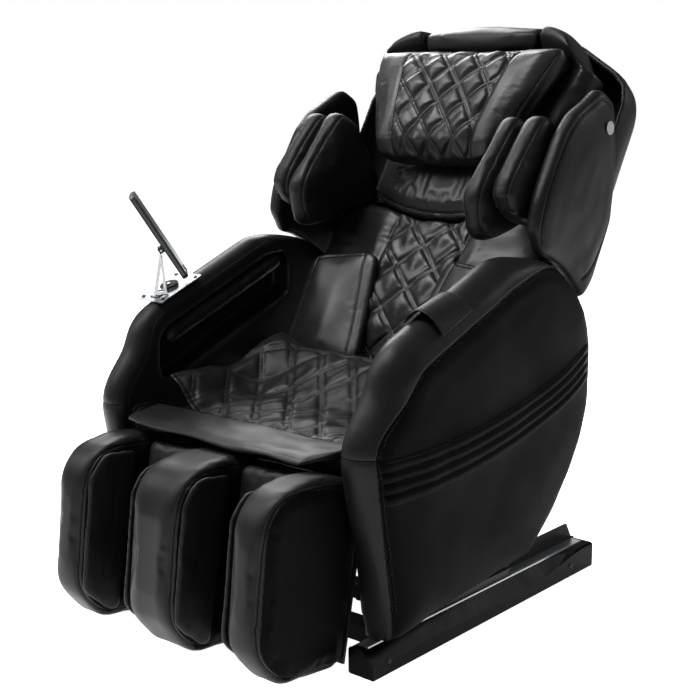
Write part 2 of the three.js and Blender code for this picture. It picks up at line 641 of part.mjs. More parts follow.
// Welded carriage: two side plates with skids over the tracks, and cross tubes that tie them.
function carriageFrame() {
  const outline = rounded([
    [-300, SHOE_BOTTOM + SHOE_HIGH + FIT, 8], [140, SHOE_BOTTOM + SHOE_HIGH + FIT, 8], [170, 230, 60],
    [BACK_PIVOT.y + 34, BACK_PIVOT.z + 30, 30], [BACK_PIVOT.y - 34, BACK_PIVOT.z + 30, 30], [20, 345, 50],
    [-250, 345, 30], [LEG_PIVOT.y + 26, LEG_PIVOT.z + 22, 14], [LEG_PIVOT.y - 22, LEG_PIVOT.z + 22, 14],
    [LEG_PIVOT.y - 18, LEG_PIVOT.z - 60, 30], [-300, 200, 60],
  ]);
  const window = rounded([[-240, 130, 40], [100, 130, 40], [110, 280, 50], [-240, 280, 40]]);
  const opening = prism(window, PLATE_THICK + 2 * EPS).translate(0, 0, -EPS);
  const plate = sideways(cut(prism(outline, PLATE_THICK), opening), PLATE_IN);
  const skidBottom = SHOE_BOTTOM + SHOE_HIGH + FIT;
  const skidX = TRACK_IN + TRACK_WIDTH / 2;
  const skid = [
    box(PLATE_IN, skidX + 2, -290, 108, SKID_TOP - 4, SKID_TOP),
    box(skidX - 2, skidX + 2, -290, 108, skidBottom + 1, SKID_TOP - 1),
    box(skidX - 9, skidX + 9, -290, 108, skidBottom, skidBottom + 4),
  ];
  const pins = [BACK_PIVOT, LEG_PIVOT].map(({ y, z }) => barX(
    PIN_RADIUS, PLATE_IN - LUG_THICK - 2 * FIT - 3, PLATE_IN + 1, y, z));
  const side = join(plate, ...skid, ...pins);
  const tubes = [[-230, 300], [-60, 300], [110, 110], [-250, 110]].map(([y, z]) => cut(
    box(-PLATE_IN - 1, PLATE_IN + 1, y - 15, y + 15, z - 15, z + 15),
    box(-PLATE_IN + 3, PLATE_IN - 3, y - 12.5, y + 12.5, z - 12.5, z + 12.5),
    barX(5, -40, 40, y, z - 12, 8)));
  const pan = box(-SEAT_HALF + 10, SEAT_HALF - 10, SEAT_FRONT + 14, SEAT_REAR - 14, PAN_TOP - 3, PAN_TOP);
  const posts = [-230, -60].map((y) => box(-220, 220, y - 10, y + 10, 314, PAN_TOP - 1));
  return join(side, mirrorX(side), ...tubes, ...posts, pan);
}

function makeSeat() {
  node(carriage, 'carriage_frame', carriageFrame(), FRAME_STEEL);
  const skidX = TRACK_IN + 1;
  const shoe = box(skidX, skidX + TRACK_WIDTH - 6, -284, 102, SHOE_BOTTOM, SHOE_BOTTOM + SHOE_HIGH);
  pair(carriage, 'glide_shoe', shoe, BLACK_PLASTIC);
  const cushionOutline = rounded([
    [-SEAT_HALF, SEAT_FRONT, 34], [SEAT_HALF, SEAT_FRONT, 34],
    [SEAT_HALF, SEAT_REAR, 30], [-SEAT_HALF, SEAT_REAR, 30],
  ]);
  const seat = cushion(cushionOutline, SEAT_THICK - 10, { edge: 20, crown: 10, rear: 6 });
  node(carriage, 'seat_cushion', seat.translate(0, 0, SEAT_TOP - SEAT_THICK), LEATHER);
  node(carriage, 'seat_mat', seatMat(), LEATHER);
  node(carriage, 'front_flap', frontFlap(), LEATHER);
}

// Height of the crowned seat at a point, as the cushion above makes it.
function seatHeight(x, y) {
  const u = Math.min(1, Math.abs(x) / (SEAT_HALF - 20));
  const v = Math.min(1, Math.abs(2 * (y - SEAT_FRONT) / (SEAT_REAR - SEAT_FRONT) - 1));
  const fall = Math.max(u, v);
  return SEAT_TOP - 10 * fall * fall;
}

// Loose quilted mat with its front corner curled up against the right arm.
function seatMat() {
  const columns = 16;
  const rows = 10;
  const place = (i, j) => {
    const x = (i - columns / 2) * MAT_HALF * 2 / columns;
    const y = MAT_FRONT + j * (MAT_REAR - MAT_FRONT) / rows;
    const curl = MAT_CURL * smoothstep(-x, 150, MAT_HALF) * (1 - 0.6 * smoothstep(j, 2, rows));
    return [x + 12 * curl / MAT_CURL, y, seatHeight(x, y) + 0.7 + curl];
  };
  const high = (i, j) => {
    const [x, y, z] = place(i, j);
    const margin = Math.min(i, columns - i, j, rows - j) ? 1 : 0;
    const quilt = quiltRise((i - columns / 2) * DIAMOND.x / 2, j * DIAMOND.y / 2);
    return new THREE.Vector3(x, y, z + MAT_THICK * (0.45 + 0.55 * quilt * margin));
  };
  const low = (i, j) => new THREE.Vector3(...place(i, j));
  return slab(columns, rows, low, high);
}

// Leather flap that bridges the seat front and the top of the leg rest.
function frontFlap() {
  const columns = 10;
  const rows = 4;
  const low = (i, j) => {
    const t = j / rows;
    const side = (i / columns - 0.5) * 2;
    const corner = (side > 0 ? FLAP_CORNER : 10) * Math.max(0, Math.abs(side) - 0.8) / 0.2 * (1 - t);
    const x = side * (FLAP_HALF - corner * 0.6);
    const y = lerp(FLAP_FRONT, FLAP_REAR, t) + corner;
    return new THREE.Vector3(x, y, FLAP_FRONT_Z + (FLAP_REAR_Z - FLAP_FRONT_Z) * t ** 0.6);
  };
  return slab(columns, rows, low, (i, j) => low(i, j).add(new THREE.Vector3(0, 0, FLAP_THICK)));
}
// ------------------------------------------------------------------ back
// Two air pads stand side by side on each shoulder, against a bracket plate on the frame.
const PAD_IN = SHOULDER_HALF + 8;
const PAD_FLAT = 0.8;               // share of the crown that the cushion form reaches
const PAD_BODY = PAD_THICK - 10;
const PAD_PITCH = PAD_BODY + (PAD_SWELL.front + PAD_SWELL.back) * PAD_FLAT + FIT;
const BRACKET_IN = PAD_IN + PAD_PITCH + PAD_BODY + PAD_SWELL.front * PAD_FLAT + FIT;
const WING_IN = BRACKET_IN + BRACKET_THICK + 2 * FIT;
const SHELL_HALF = WING_IN + SHELL_PROUD;

// Outline of the shell in the front view: narrow between the arms, broad behind the shoulders.
function shellOutline(out) {
  const right = [
    [SHELL_HIP + out, -60 - out, 40], [SHELL_HIP + out, 236, 40], [SHELL_HALF + out, 372, 50],
    [SHELL_HALF + out, SHELL_TOP - 106 + out * 0.6, 80], [SHELL_HALF - 170 + out * 0.6, SHELL_TOP + out, 110],
  ];
  const left = right.map(([x, y, radius]) => [-x, y, radius]).reverse();
  return rounded([...right, ...left], 2);
}

// Side view of the wing: (depth, height) with depth positive towards the sitter.
function wingOutline() {
  const arc = [];
  for (let k = 0; k <= 5; k += 1) {
    const angle = lerp(deg(-17), deg(23), k / 5);
    arc.push([-WING_ARC * Math.sin(angle), WING_ARC * Math.cos(angle), 0]);
  }
  const top = rounded([
    [-122, 300, 0], [-122, 440, 60], [-66, 566, 60], [6, 652, 30], [66, 650, 30], [128, 556, 60],
    [147, 496, 40], [149, 350, 60], [130, 296, 0],
  ], 2);
  return [...arc.map(([x, y]) => new THREE.Vector2(x, y)), ...top];
}

// A shoulder air pad in the side view, its lower end at low.
const padOutline = (low) => rounded([
  [-40, low + 14, 16], [152, low + 28, 40], [209, 328, 45], [168, 535, 34], [96, 541, 40], [-40, 470, 20],
], 2);

// In this frame the sitter's side is -y, so a depth d towards the sitter lies at y = -d.
const toward = (points) => points.map((p) => new THREE.Vector2(-p.x, p.y));

function backShell() {
  const depth = SHELL_BACK - SHELL_RIM;
  const layer = (out, d) => shellOutline(out).map((p) => new THREE.Vector3(p.x, SHELL_RIM + d, p.y));
  const outside = loft([
    layer(-4, 0), layer(0, 5), layer(2, depth * 0.35), layer(-4, depth * 0.62), layer(-18, depth * 0.84),
    layer(-44, depth * 0.97), layer(-90, depth + 4),
  ]);
  const w = SHELL_WALL;
  const inside = loft([
    layer(-w - 2, -EPS), layer(-w - 2, depth * 0.35), layer(-w - 8, depth * 0.6), layer(-w - 24, depth * 0.8),
    layer(-w - 50, depth - w - 5), layer(-w - 90, depth - w),
  ]);
  const notch = box(FRAME_X, SHELL_HIP + 20, SHELL_RIM - EPS, FRAME_FRONT + 25, -31, 33);
  const recess = sideways(prism(outset(toward(wingOutline()), 1), 60), WING_IN - FIT);
  return cut(outside, inside, recess, mirrorX(recess), notch, mirrorX(notch));
}

const lugIn = PLATE_IN - FIT - LUG_THICK;

// Two deep side channels carry the massage mechanism; arms run out to the pivot lugs.
function backFrame() {
  const channel = cut(
    box(FRAME_X, FRAME_X + 26, FRAME_FRONT, FRAME_REAR, -14, 716),
    box(FRAME_X + FRAME_SHEET, FRAME_X + 26 + EPS, FRAME_FRONT + 4, FRAME_REAR - 4, -14 - EPS, 716 + EPS));
  const cross = (z, half) => box(-half, half, FRAME_REAR - 16, FRAME_REAR - 1, z - 14, z + 14);
  const lugRear = FRAME_FRONT + 26;
  const lugOutline = rounded([[-34, -34, 30], [lugRear, -34, 8], [lugRear, 36, 8], [-34, 36, 30]]);
  const lug = cut(
    sideways(prism(lugOutline, LUG_THICK), lugIn),
    barX(PIN_RADIUS + FIT, lugIn - EPS, lugIn + LUG_THICK + EPS, 0, 0));
  const arm = box(FRAME_X + 1, lugIn + 1, FRAME_FRONT + 2, FRAME_FRONT + 24, -12, 32);
  const wingArm = join(
    box(FRAME_X + 1, WING_IN - FIT, FRAME_FRONT + 4, FRAME_FRONT + 30, 414, 446),
    box(BRACKET_IN, BRACKET_IN + BRACKET_THICK, -120, FRAME_FRONT + 5, 388, 446));
  const ties = [2, 340, 690].map((z) => cross(z, FRAME_X + 4));
  const sides = [channel, arm, wingArm, lug];
  return join(...sides, ...sides.map(mirrorX), ...ties);
}

// Top edge of the back cushion, dipping towards the middle.
const scoop = (x) => CUSHION_TOP - CUSHION_SCOOP * (1 - (x / SHOULDER_HALF) ** 2);

// Back cushion: plain sides and a quilted middle panel.
function backCushion() {
  const columns = 18;
  const rows = 15;
  const step = DIAMOND.x / 2;
  const quiltColumns = QUILT_HALF.back;
  const plan = (i, j) => {
    const n = i - columns / 2;
    const z = CUSHION_BOTTOM + j * (CUSHION_TOP - CUSHION_BOTTOM) / rows;
    const half = lerp(BACK_HALF, SHOULDER_HALF, smoothstep(z, 200, 262));
    const inner = quiltColumns * step;
    const x = Math.abs(n) <= quiltColumns ? n * step
      : Math.sign(n) * (inner + (half - inner) * (Math.abs(n) - quiltColumns) / (columns / 2 - quiltColumns));
    return [x, Math.min(z, scoop(x) - 4 * (rows - j))];
  };
  const height = (i, j) => {
    const n = i - columns / 2;
    const [x, z] = plan(i, j);
    const end = Math.min(j, rows - j) === 0 || Math.abs(n) === columns / 2 ? 16 : 0;
    const lumbar = 14 * Math.sin(Math.PI * clamp((z - 10) / 300, 0, 1));
    const side = Math.abs(n) > quiltColumns ? 5 : 0;
    const quilted = Math.abs(n) < quiltColumns && j > 0 && j < rows;
    const quilt = quilted ? DIAMOND.rise * quiltRise(n * step, j * DIAMOND.y / 2) : 0;
    return CUSHION_DEPTH - 14 + lumbar - end + quilt + side;
  };
  return facing(gridPad(columns, rows, plan, height), -FRAME_FRONT_GAP);
}

// Curved pad below the head pillow, its lower edge following the scoop of the cushion.
function neckPad() {
  const columns = 12;
  const rows = 6;
  const plan = (i, j) => {
    const share = i / columns * 2 - 1;
    const x = share * (SHOULDER_HALF - 3);
    return [x, lerp(scoop(x) + NECK_GAP, NECK_TOP, j / rows)];
  };
  const height = (i, j) => {
    const edge = Math.min(i, columns - i, j, rows - j);
    const crown = 12 * Math.sin(Math.PI * i / columns) * Math.min(1, (j + 0.6) / 2.5);
    return CUSHION_DEPTH - 2 + crown - (edge ? 0 : 12);
  };
  return facing(gridPad(columns, rows, plan, height), -FRAME_FRONT_GAP);
}

// Head pillow: a wedge, broad at the top, with a quilted face between plain sides.
function headPillow() {
  const columns = 18;
  const rows = 10;
  const step = DIAMOND.x / 2;
  const quiltColumns = QUILT_HALF.pillow;
  const plan = (i, j) => {
    const n = i - columns / 2;
    const t = j / rows;
    const half = lerp(PILLOW_HALF.bottom, PILLOW_HALF.top, t ** 0.85) - (j === rows ? 8 : 0);
    const inner = quiltColumns * step * (0.78 + 0.36 * t);
    const x = Math.abs(n) <= quiltColumns ? n / quiltColumns * inner
      : Math.sign(n) * (inner + (half - inner) * (Math.abs(n) - quiltColumns) / (columns / 2 - quiltColumns));
    return [x, PILLOW_BOTTOM + t * (PILLOW_TOP - PILLOW_BOTTOM) + 10 * (1 - t) * (x / half) ** 4];
  };
  const height = (i, j) => {
    const n = i - columns / 2;
    const rim = Math.min(j, rows - j) === 0 || Math.abs(n) === columns / 2 ? 20 : 0;
    const belly = 14 * Math.sin(Math.PI * j / rows) * Math.cos(Math.PI * n / columns / 1.3);
    const quilted = Math.abs(n) < quiltColumns && j > 0 && j < rows;
    const quilt = quilted ? 0.8 * DIAMOND.rise * quiltRise(n * step, j * DIAMOND.y / 2) : 0;
    return PILLOW_THICK - 18 - rim + belly + quilt;
  };
  return facing(gridPad(columns, rows, plan, height), -PILLOW_REST);
}

// The hood stands proud above the pillow and passes behind it lower down.
const hoodForward = (z) => smoothstep(z, PILLOW_TOP + HOOD_STEP.from, PILLOW_TOP + HOOD_STEP.to);

function hoodMiddle() {
  const columns = 8;
  const rows = 8;
  const zs = [NECK_TOP + 2, 620, 690, 728, 744, 760, 780, 800, HOOD_TOP];
  const plan = (i, j) => {
    const arch = j === rows ? 8 * Math.sin(Math.PI * i / columns) : 0;
    return [(i / columns * 2 - 1) * HOOD_MIDDLE, zs[j] + arch];
  };
  const height = (i, j) => {
    const edge = (j === 0 ? 4 : 0) + (j === rows ? 46 : 0) + (j === rows - 1 ? 14 : 0);
    const seam = i === 0 || i === columns ? 8 : 0;
    return HOOD_THICK + HOOD_PROUD * hoodForward(zs[j]) + 4 * Math.sin(Math.PI * i / columns) - edge - seam;
  };
  return gridPad(columns, rows, plan, height);
}

function hoodBolster() {
  const columns = 6;
  const zs = [560, 590, 620, 650, 680, 710, 732, 752, 774, 796, HOOD_TOP - 6];
  const rows = zs.length - 1;
  const outer = [246, 258, 270, 282, 292, 297, 295, 286, 270, 250, 228];
  const plan = (i, j) => [lerp(HOOD_MIDDLE + 0.5, outer[j], i / columns), zs[j]];
  const height = (i, j) => {
    const [x, z] = plan(i, j);
    const beside = smoothstep(x, PILLOW_HALF.top + 6, PILLOW_HALF.top + 40);
    const proud = HOOD_PROUD * Math.max(hoodForward(z), beside * 0.8);
    const edge = (j === 0 ? 30 : 0) + (j === rows ? 46 : 0) + (i === columns ? 44 : 0) + (i === 0 ? 8 : 0);
    return Math.max(24, HOOD_THICK + proud - edge);
  };
  return gridPad(columns, rows, plan, height);
}

function makeBack() {
  node(back, 'back_frame', backFrame(), FRAME_STEEL);
  node(back, 'back_shell', backShell(), LEATHER);
  node(back, 'back_cushion', backCushion(), LEATHER);
  node(back, 'neck_pad', neckPad(), LEATHER);
  node(back, 'head_pillow', headPillow(), LEATHER);
  const wing = cushion(toward(wingOutline()), WING_THICK - 8, { edge: 18, crown: 9, rear: 8 });
  pair(back, 'side_wing', sideways(wing, WING_IN), LEATHER);
  const badge = new THREE.CylinderGeometry(BADGE.radius, BADGE.radius, BADGE.thick, 24).rotateZ(Math.PI / 2);
  const badgeX = WING_IN + WING_THICK + FIT - BADGE.inset;
  node(back, 'wing_button', badge.translate(badgeX, BADGE.y, BADGE.z), BRIGHT_STEEL);
  const padForm = { edge: 16, crown: PAD_SWELL.front, rear: 14, rearCrown: PAD_SWELL.back };
  const inner = cushion(toward(padOutline(238)), PAD_THICK - 10, padForm);
  pair(back, 'shoulder_pad_inner', sideways(inner, PAD_IN), LEATHER);
  const outer = cushion(toward(padOutline(286)), PAD_THICK - 10, padForm);
  pair(back, 'shoulder_pad_outer', sideways(outer, PAD_IN + PAD_PITCH), LEATHER);
  node(back, 'hood_middle', facing(hoodMiddle(), HOOD_BACK), LEATHER);
  pair(back, 'hood_bolster', facing(hoodBolster(), HOOD_BACK), LEATHER);
  const hip = cushion(rounded([
    [68, 0, 26], [252, 0, 44], [256, 241, 36], [112, 262, 22],
  ]), HIP_THICK, { edge: 14, crown: 6, rear: 4 });
  pair(back, 'hip_pad', facing(hip, -FRAME_FRONT_GAP - CUSHION_DEPTH - HIP_SEAT), LEATHER);
}
// ------------------------------------------------------------------ massage mechanism
function makeMechanism() {
  const [low, high] = [MECH.z - MECH.high / 2, MECH.z + MECH.high / 2];
  const block = box(-FRAME_X + FIT, FRAME_X - FIT, MECH.front, MECH.rear, low, high);
  const hollow = box(-FRAME_X + 30, FRAME_X - 30, MECH.front - EPS, MECH.rear - 4, low + 12, high - 12);
  const cheeks = [-KNEAD.x - 26, -KNEAD.x + 18, KNEAD.x - 26, KNEAD.x + 18].map((x) => box(
    x, x + 8, KNEAD.y - 8, MECH.front + 1, MECH.z - 10, MECH.z + 10));
  const floor = [-KNEAD.x, KNEAD.x].map((x) => box(
    x - 26, x + 26, MECH.front, MECH.rear - 1, MECH.z - 16, MECH.z + 16));
  const shafts = [-KNEAD.x, KNEAD.x].map((x) => barX(KNEAD.shaft, x - 20, x + 20, KNEAD.y, MECH.z, 16));
  node(back, 'mech_carriage', join(cut(block, hollow), ...floor, ...cheeks, ...shafts), FRAME_STEEL);
  const armOutlinePoints = rounded([
    [KNEAD.y - 9, MECH.z - KNEAD.reach - 9, 8], [KNEAD.y + 9, MECH.z - KNEAD.reach - 9, 8],
    [KNEAD.y + 10, MECH.z, 0], [KNEAD.y + 9, MECH.z + KNEAD.reach + 9, 8],
    [KNEAD.y - 9, MECH.z + KNEAD.reach + 9, 8], [KNEAD.y - 10, MECH.z, 0],
  ]);
  const kneadArm = join(
    cut(sideways(prism(armOutlinePoints, KNEAD.thick), KNEAD.x - KNEAD.thick / 2),
      barX(KNEAD.shaft + FIT, KNEAD.x - 20, KNEAD.x + 20, KNEAD.y, MECH.z, 16)),
    ...[-1, 1].map((side) => barX(ROLLER.bore, KNEAD.x, KNEAD.x + KNEAD.thick / 2 + ROLLER.width + 2 * FIT,
      KNEAD.y, MECH.z + side * KNEAD.reach, 16)));
  pair(back, 'knead_arm', kneadArm, BLACK_PLASTIC);
  const bore = ROLLER.bore + FIT;
  const half = ROLLER.width / 2;
  const profile = [[bore, -half], [ROLLER.radius - 8, -half], [ROLLER.radius, -half + 8],
    [ROLLER.radius, half - 8], [ROLLER.radius - 8, half], [bore, half], [bore, -half]];
  for (const [name, side] of [['lower', -1], ['upper', 1]]) {
    const turned = new THREE.LatheGeometry(profile.map(([r, h]) => new THREE.Vector2(r, h)), 16);
    const roller = turned.rotateZ(Math.PI / 2).translate(
      KNEAD.x + KNEAD.thick / 2 + FIT + half, KNEAD.y, MECH.z + side * KNEAD.reach);
    pair(back, `roller_${name}`, roller, RUBBER);
  }
}
// ------------------------------------------------------------------ leg rest
// Side view of a fin: depth towards the calf against the way down, both from the hinge.
const finOutline = (inset) => outset(rounded([
  [-LEG_BACK, -80, 24], [0, -24, 26], [104, -30, 60], [184, -58, 60], [LEG_DEPTH + 2, -112, 60],
  [LEG_DEPTH - 18, -LEG_LENGTH + 46, 60], [110, -LEG_LENGTH - 14, 46], [-LEG_BACK, -LEG_LENGTH + 4, 24],
], 2), -inset).map((p) => new THREE.Vector2(-p.x, p.y));

// A fin runs from x0 to x1 with both of its long edges rolled over.
function fin(x0, x1, roll) {
  const across = (x, inset) => finOutline(inset).map((p) => new THREE.Vector3(x, p.x, p.y));
  const edge = [[0, 1], [0.13, 0.5], [0.5, 0.13], [1, 0]];
  return loft([
    ...edge.map(([along, inset]) => across(x0 + roll * along, roll * inset)),
    ...edge.reverse().map(([along, inset]) => across(x1 - roll * along, roll * inset)),
  ]);
}

// Air cell lining one wall of a calf channel; its front edge is the piped flange.
function calfCell(x) {
  const rear = -CALF_PAD_FRONT - 2;
  const low = -LEG_LENGTH + 8;
  const outline = rounded([
    [rear, -54, 12], [-170, -62, 34], [-LEG_DEPTH + 9, -112, 34], [-LEG_DEPTH + 24, low + 42, 34],
    [-110, low, 30], [rear, low, 12],
  ], 2);
  return sideways(cushion(outline, CELL_THICK - 3 - 2 * FIT, { edge: 5, crown: 3, rear: 2 }), x);
}

function makeLegRest() {
  pair(leg, 'leg_fin_outer', fin(FIN_IN, LEG_HALF, 16), LEATHER);
  node(leg, 'leg_fin_middle', fin(-FIN_HALF, FIN_HALF, 14), LEATHER);
  const wall = (x0, x1) => box(x0, x1, 8, LEG_BACK - 6, -LEG_LENGTH + 20, -70);
  const rearPan = join(
    box(-LEG_HALF + 4, LEG_HALF - 4, LEG_BACK + FIT, LEG_BACK + 6, -LEG_LENGTH + 8, -86),
    wall(FIN_HALF + 20, FIN_IN - 20), wall(-FIN_IN + 20, -FIN_HALF - 20),
    box(FIN_HALF + 22, FIN_IN - 22, 8, LEG_BACK + 4, -300, -90),
    box(-FIN_IN + 22, -FIN_HALF - 22, 8, LEG_BACK + 4, -300, -90));
  node(leg, 'leg_rear_pan', rearPan, BLACK_PLASTIC);
  const calf = cushion(rounded([
    [FIN_HALF + 1, -LEG_LENGTH + 10, 18], [FIN_IN - 1, -LEG_LENGTH + 10, 18],
    [FIN_IN - 1, -34, 18], [FIN_HALF + 1, -34, 18],
  ]), CALF_PAD_FRONT - 14, { edge: 14, crown: 8, rear: 3 });
  pair(leg, 'calf_pad', facing(calf, 8 - FIT), LEATHER);
  const cell = calfCell(FIN_HALF + FIT);
  pair(leg, 'calf_cell_inner', cell, LEATHER);
  pair(leg, 'calf_cell_outer', mirrorX(calfCell(-FIN_IN + FIT)), LEATHER);
  node(leg, 'leg_lift_frame', liftFrame(), FRAME_STEEL);
}

// Lift frame: thin arms beside the fins, cross tubes and runners behind them.
function liftFrame() {
  const y0 = LEG_BACK + 6 + FIT;
  const outer = PLATE_IN - FIT;
  const inner = LEG_HALF + 1;
  const arm = cut(
    sideways(prism(rounded([
      [-16, -16, 14], [-16, 16, 14], [16, 16, 14], [y0 + 20, -84, 20],
      [y0 + 20, -250, 6], [y0, -250, 6], [y0, -120, 20],
    ]), outer - inner), inner),
    barX(PIN_RADIUS + FIT, inner - EPS, outer + EPS, 0, 0));
  const runner = box(RUNNER_X - 12, RUNNER_X + 12, y0, y0 + 18, -256, -100);
  const cross = (z) => box(-inner - 1, inner + 1, y0 + 2, y0 + 18, z - 10, z + 10);
  return join(arm, mirrorX(arm), runner, mirrorX(runner), cross(-116), cross(-232));
}
// ------------------------------------------------------------------ control panel
// Axes of the tilted panel: across it, up it, and out of its face towards the sitter.
const PANEL_ACROSS = new THREE.Vector3(-0.75, 0.661, 0).normalize();
const PANEL_UP = new THREE.Vector3(-0.348, -0.395, 0.849).normalize();
const PANEL_OUT = new THREE.Vector3().crossVectors(PANEL_ACROSS, PANEL_UP).normalize();

const oriented = (geometry, across, up, out, origin) => geometry.applyMatrix4(
  new THREE.Matrix4().makeBasis(across, up, out).setPosition(origin));

function makePanel() {
  const middle = new THREE.Vector3((PLATE.x0 + PLATE.x1) / 2, (PLATE.y0 + PLATE.y1) / 2, 0);
  const normal = new THREE.Vector3(0, -Math.sin(ARM_SLOPE), Math.cos(ARM_SLOPE));
  const slope = new THREE.Vector3(0, Math.cos(ARM_SLOPE), Math.sin(ARM_SLOPE));
  const right = new THREE.Vector3(1, 0, 0);
  middle.z = crownLine(middle.y) + ARM_CROWN / Math.cos(ARM_SLOPE) + FIT;
  const length = (PLATE.y1 - PLATE.y0) / Math.cos(ARM_SLOPE);
  const halfX = (PLATE.x1 - PLATE.x0) / 2;
  const outline = rounded([
    [-halfX, -length / 2, 4], [halfX, -length / 2, 4], [halfX, length / 2, 4], [-halfX, length / 2, 4]]);
  const hole = (sx, sy) => new THREE.CylinderGeometry(2.6, 2.6, 20, 10)
    .rotateX(Math.PI / 2).translate(sx * (halfX - 9), sy * (length / 2 - 11), 0);
  const holes = [hole(-1, -1), hole(1, -1), hole(1, 1), hole(-1, 1)];
  const stud = new THREE.CylinderGeometry(4, 4, 10, 16).rotateX(Math.PI / 2).translate(0, 0, 6);
  const plate = join(cut(prism(outline, PLATE.thick), ...holes), stud);
  node(carriage, 'holder_plate', oriented(plate, right, slope, normal, middle), BRIGHT_STEEL);

  const bottom = middle.clone().add(new THREE.Vector3(48, 1, 32));
  const pivot = bottom.clone().addScaledVector(PANEL_UP, TABLET.lug).addScaledVector(PANEL_OUT, -TABLET.arm);
  const slabOutline = rounded([
    [-TABLET.width / 2, 0, 9], [TABLET.width / 2, 0, 9],
    [TABLET.width / 2, TABLET.height, 9], [-TABLET.width / 2, TABLET.height, 9]]);
  const body = prism(slabOutline, TABLET.thick).translate(0, 0, -TABLET.thick / 2);
  const lugs = [-19, 11].map((x) => box(
    x, x + 8, TABLET.lug - 6, TABLET.lug + 6, -TABLET.arm - 5, -TABLET.thick / 2 + 1));
  const bore = barX(2.5 + FIT, -30, 30, TABLET.lug, -TABLET.arm, 12);
  const panel = oriented(cut(join(body, ...lugs), bore), PANEL_ACROSS, PANEL_UP, PANEL_OUT, bottom);
  node(carriage, 'panel', panel, BLACK_PLASTIC);
  node(carriage, 'panel_stand', panelStand(middle, normal, slope, pivot), BRIGHT_STEEL);
}

// Disc on the plate's stud, slotted strut up to the panel's hinge, and a web between them.
function panelStand(middle, normal, slope, pivot) {
  const right = new THREE.Vector3(1, 0, 0);
  const level = PLATE.thick + FIT;
  const disc = cut(
    new THREE.CylinderGeometry(20, 20, 3, 28).rotateX(Math.PI / 2).translate(0, 0, level + 1.5),
    new THREE.CylinderGeometry(4 + FIT, 4 + FIT, 20, 16).rotateX(Math.PI / 2));
  const strip = cut(
    box(-12, 12, -46, 0, level, level + 3),
    new THREE.CylinderGeometry(12, 12, 20, 16).rotateX(Math.PI / 2));
  const foot = middle.clone().addScaledVector(slope, -44).addScaledVector(normal, level + 3);
  const up = pivot.clone().sub(foot);
  const reach = up.length();
  up.normalize();
  const out = new THREE.Vector3().crossVectors(PANEL_ACROSS, up).normalize();
  const across = new THREE.Vector3().crossVectors(up, out).normalize();
  const bar = cut(
    box(-10, 10, -0.7, reach - 3, -1.5, 1.5),
    box(-4, 4, 16, reach - 18, -5, 5));
  const barrel = join(barX(5, -10, 10, 0, 0, 16), barX(2.5, -19, 19, 0, 0, 12));
  return join(oriented(join(disc, strip), right, slope, normal, middle),
    oriented(bar, across, up, out, foot),
    oriented(barrel, PANEL_ACROSS, PANEL_UP, PANEL_OUT, pivot));
}
makeBase();
makeArms();
node(carriage, 'hand_strap', handStrap(), LEATHER);
makeSeat();
makeBack();
makeMechanism();
makeLegRest();
makePanel();

// Put the origin on the floor, at the middle of the chair's own box.
chair.updateMatrixWorld(true);
const bounds = new THREE.Box3().setFromObject(chair, true);
const centre = bounds.getCenter(new THREE.Vector3());
chair.position.set(-centre.x, -centre.y, -bounds.min.z);

export default chair;
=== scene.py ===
"""A reclining massage chair in black synthetic leather on two base rails, with a small panel on
its right arm."""
import json
import math

import bmesh
import bpy
import numpy as np
from mathutils import Matrix, Vector, noise
from mathutils.bvhtree import BVHTree
from mathutils.kdtree import KDTree


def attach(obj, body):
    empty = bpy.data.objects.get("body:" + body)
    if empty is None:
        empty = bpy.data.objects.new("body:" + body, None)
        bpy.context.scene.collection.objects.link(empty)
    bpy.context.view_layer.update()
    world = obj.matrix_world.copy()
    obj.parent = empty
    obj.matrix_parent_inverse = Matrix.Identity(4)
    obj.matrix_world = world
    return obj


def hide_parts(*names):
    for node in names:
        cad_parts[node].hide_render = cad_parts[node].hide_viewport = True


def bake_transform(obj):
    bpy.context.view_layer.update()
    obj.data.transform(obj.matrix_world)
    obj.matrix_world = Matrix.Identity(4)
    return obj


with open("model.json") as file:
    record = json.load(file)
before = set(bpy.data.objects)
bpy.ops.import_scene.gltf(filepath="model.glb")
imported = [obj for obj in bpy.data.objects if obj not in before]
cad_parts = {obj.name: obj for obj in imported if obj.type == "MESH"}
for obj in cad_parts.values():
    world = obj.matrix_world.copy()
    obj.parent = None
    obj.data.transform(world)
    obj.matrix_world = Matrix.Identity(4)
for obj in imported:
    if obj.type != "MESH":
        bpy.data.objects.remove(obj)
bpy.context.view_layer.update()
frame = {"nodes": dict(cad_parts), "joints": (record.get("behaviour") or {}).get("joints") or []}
MM = 0.001

# ------------------------------------------------------------------ places
# Each group of pieces is shaped in the chair's, the back's or the leg rest's own frame, in
# millimetres: x to the sitter's left, -y towards the sitter's front, z up or up the back.
SIDES = {"left": 1, "right": -1}
BACK_LEAN = math.radians(31)
LEG_LEAN = math.radians(12)
ARM_SLOPE = math.radians(21.2)
PIVOT_IN_CHAIR = Vector((0, 85, 436))
TOWARDS = (0, 1, 0)                    # looks from the sitter into the back
DOWN = (0, 0, -1)


def joint_place(name):
    joint = next(j for j in frame["joints"] if j["name"] == name)
    return Vector(joint["pos_m"]) / MM


CHAIR = Matrix.Translation(joint_place("back_recline") - PIVOT_IN_CHAIR)
BACK = Matrix.Translation(joint_place("back_recline")) @ Matrix.Rotation(-BACK_LEAN, 4, "X")
LEG = Matrix.Translation(joint_place("leg_lift_hinge")) @ Matrix.Rotation(-LEG_LEAN, 4, "X")
PLACES = {"carriage": CHAIR, "back": BACK, "leg_rest": LEG}


def into(place, points):
    """Points of the row frame, in metres, as millimetres of a place."""
    m = np.array(place.inverted())
    return points / MM @ m[:3, :3].T + m[:3, 3]


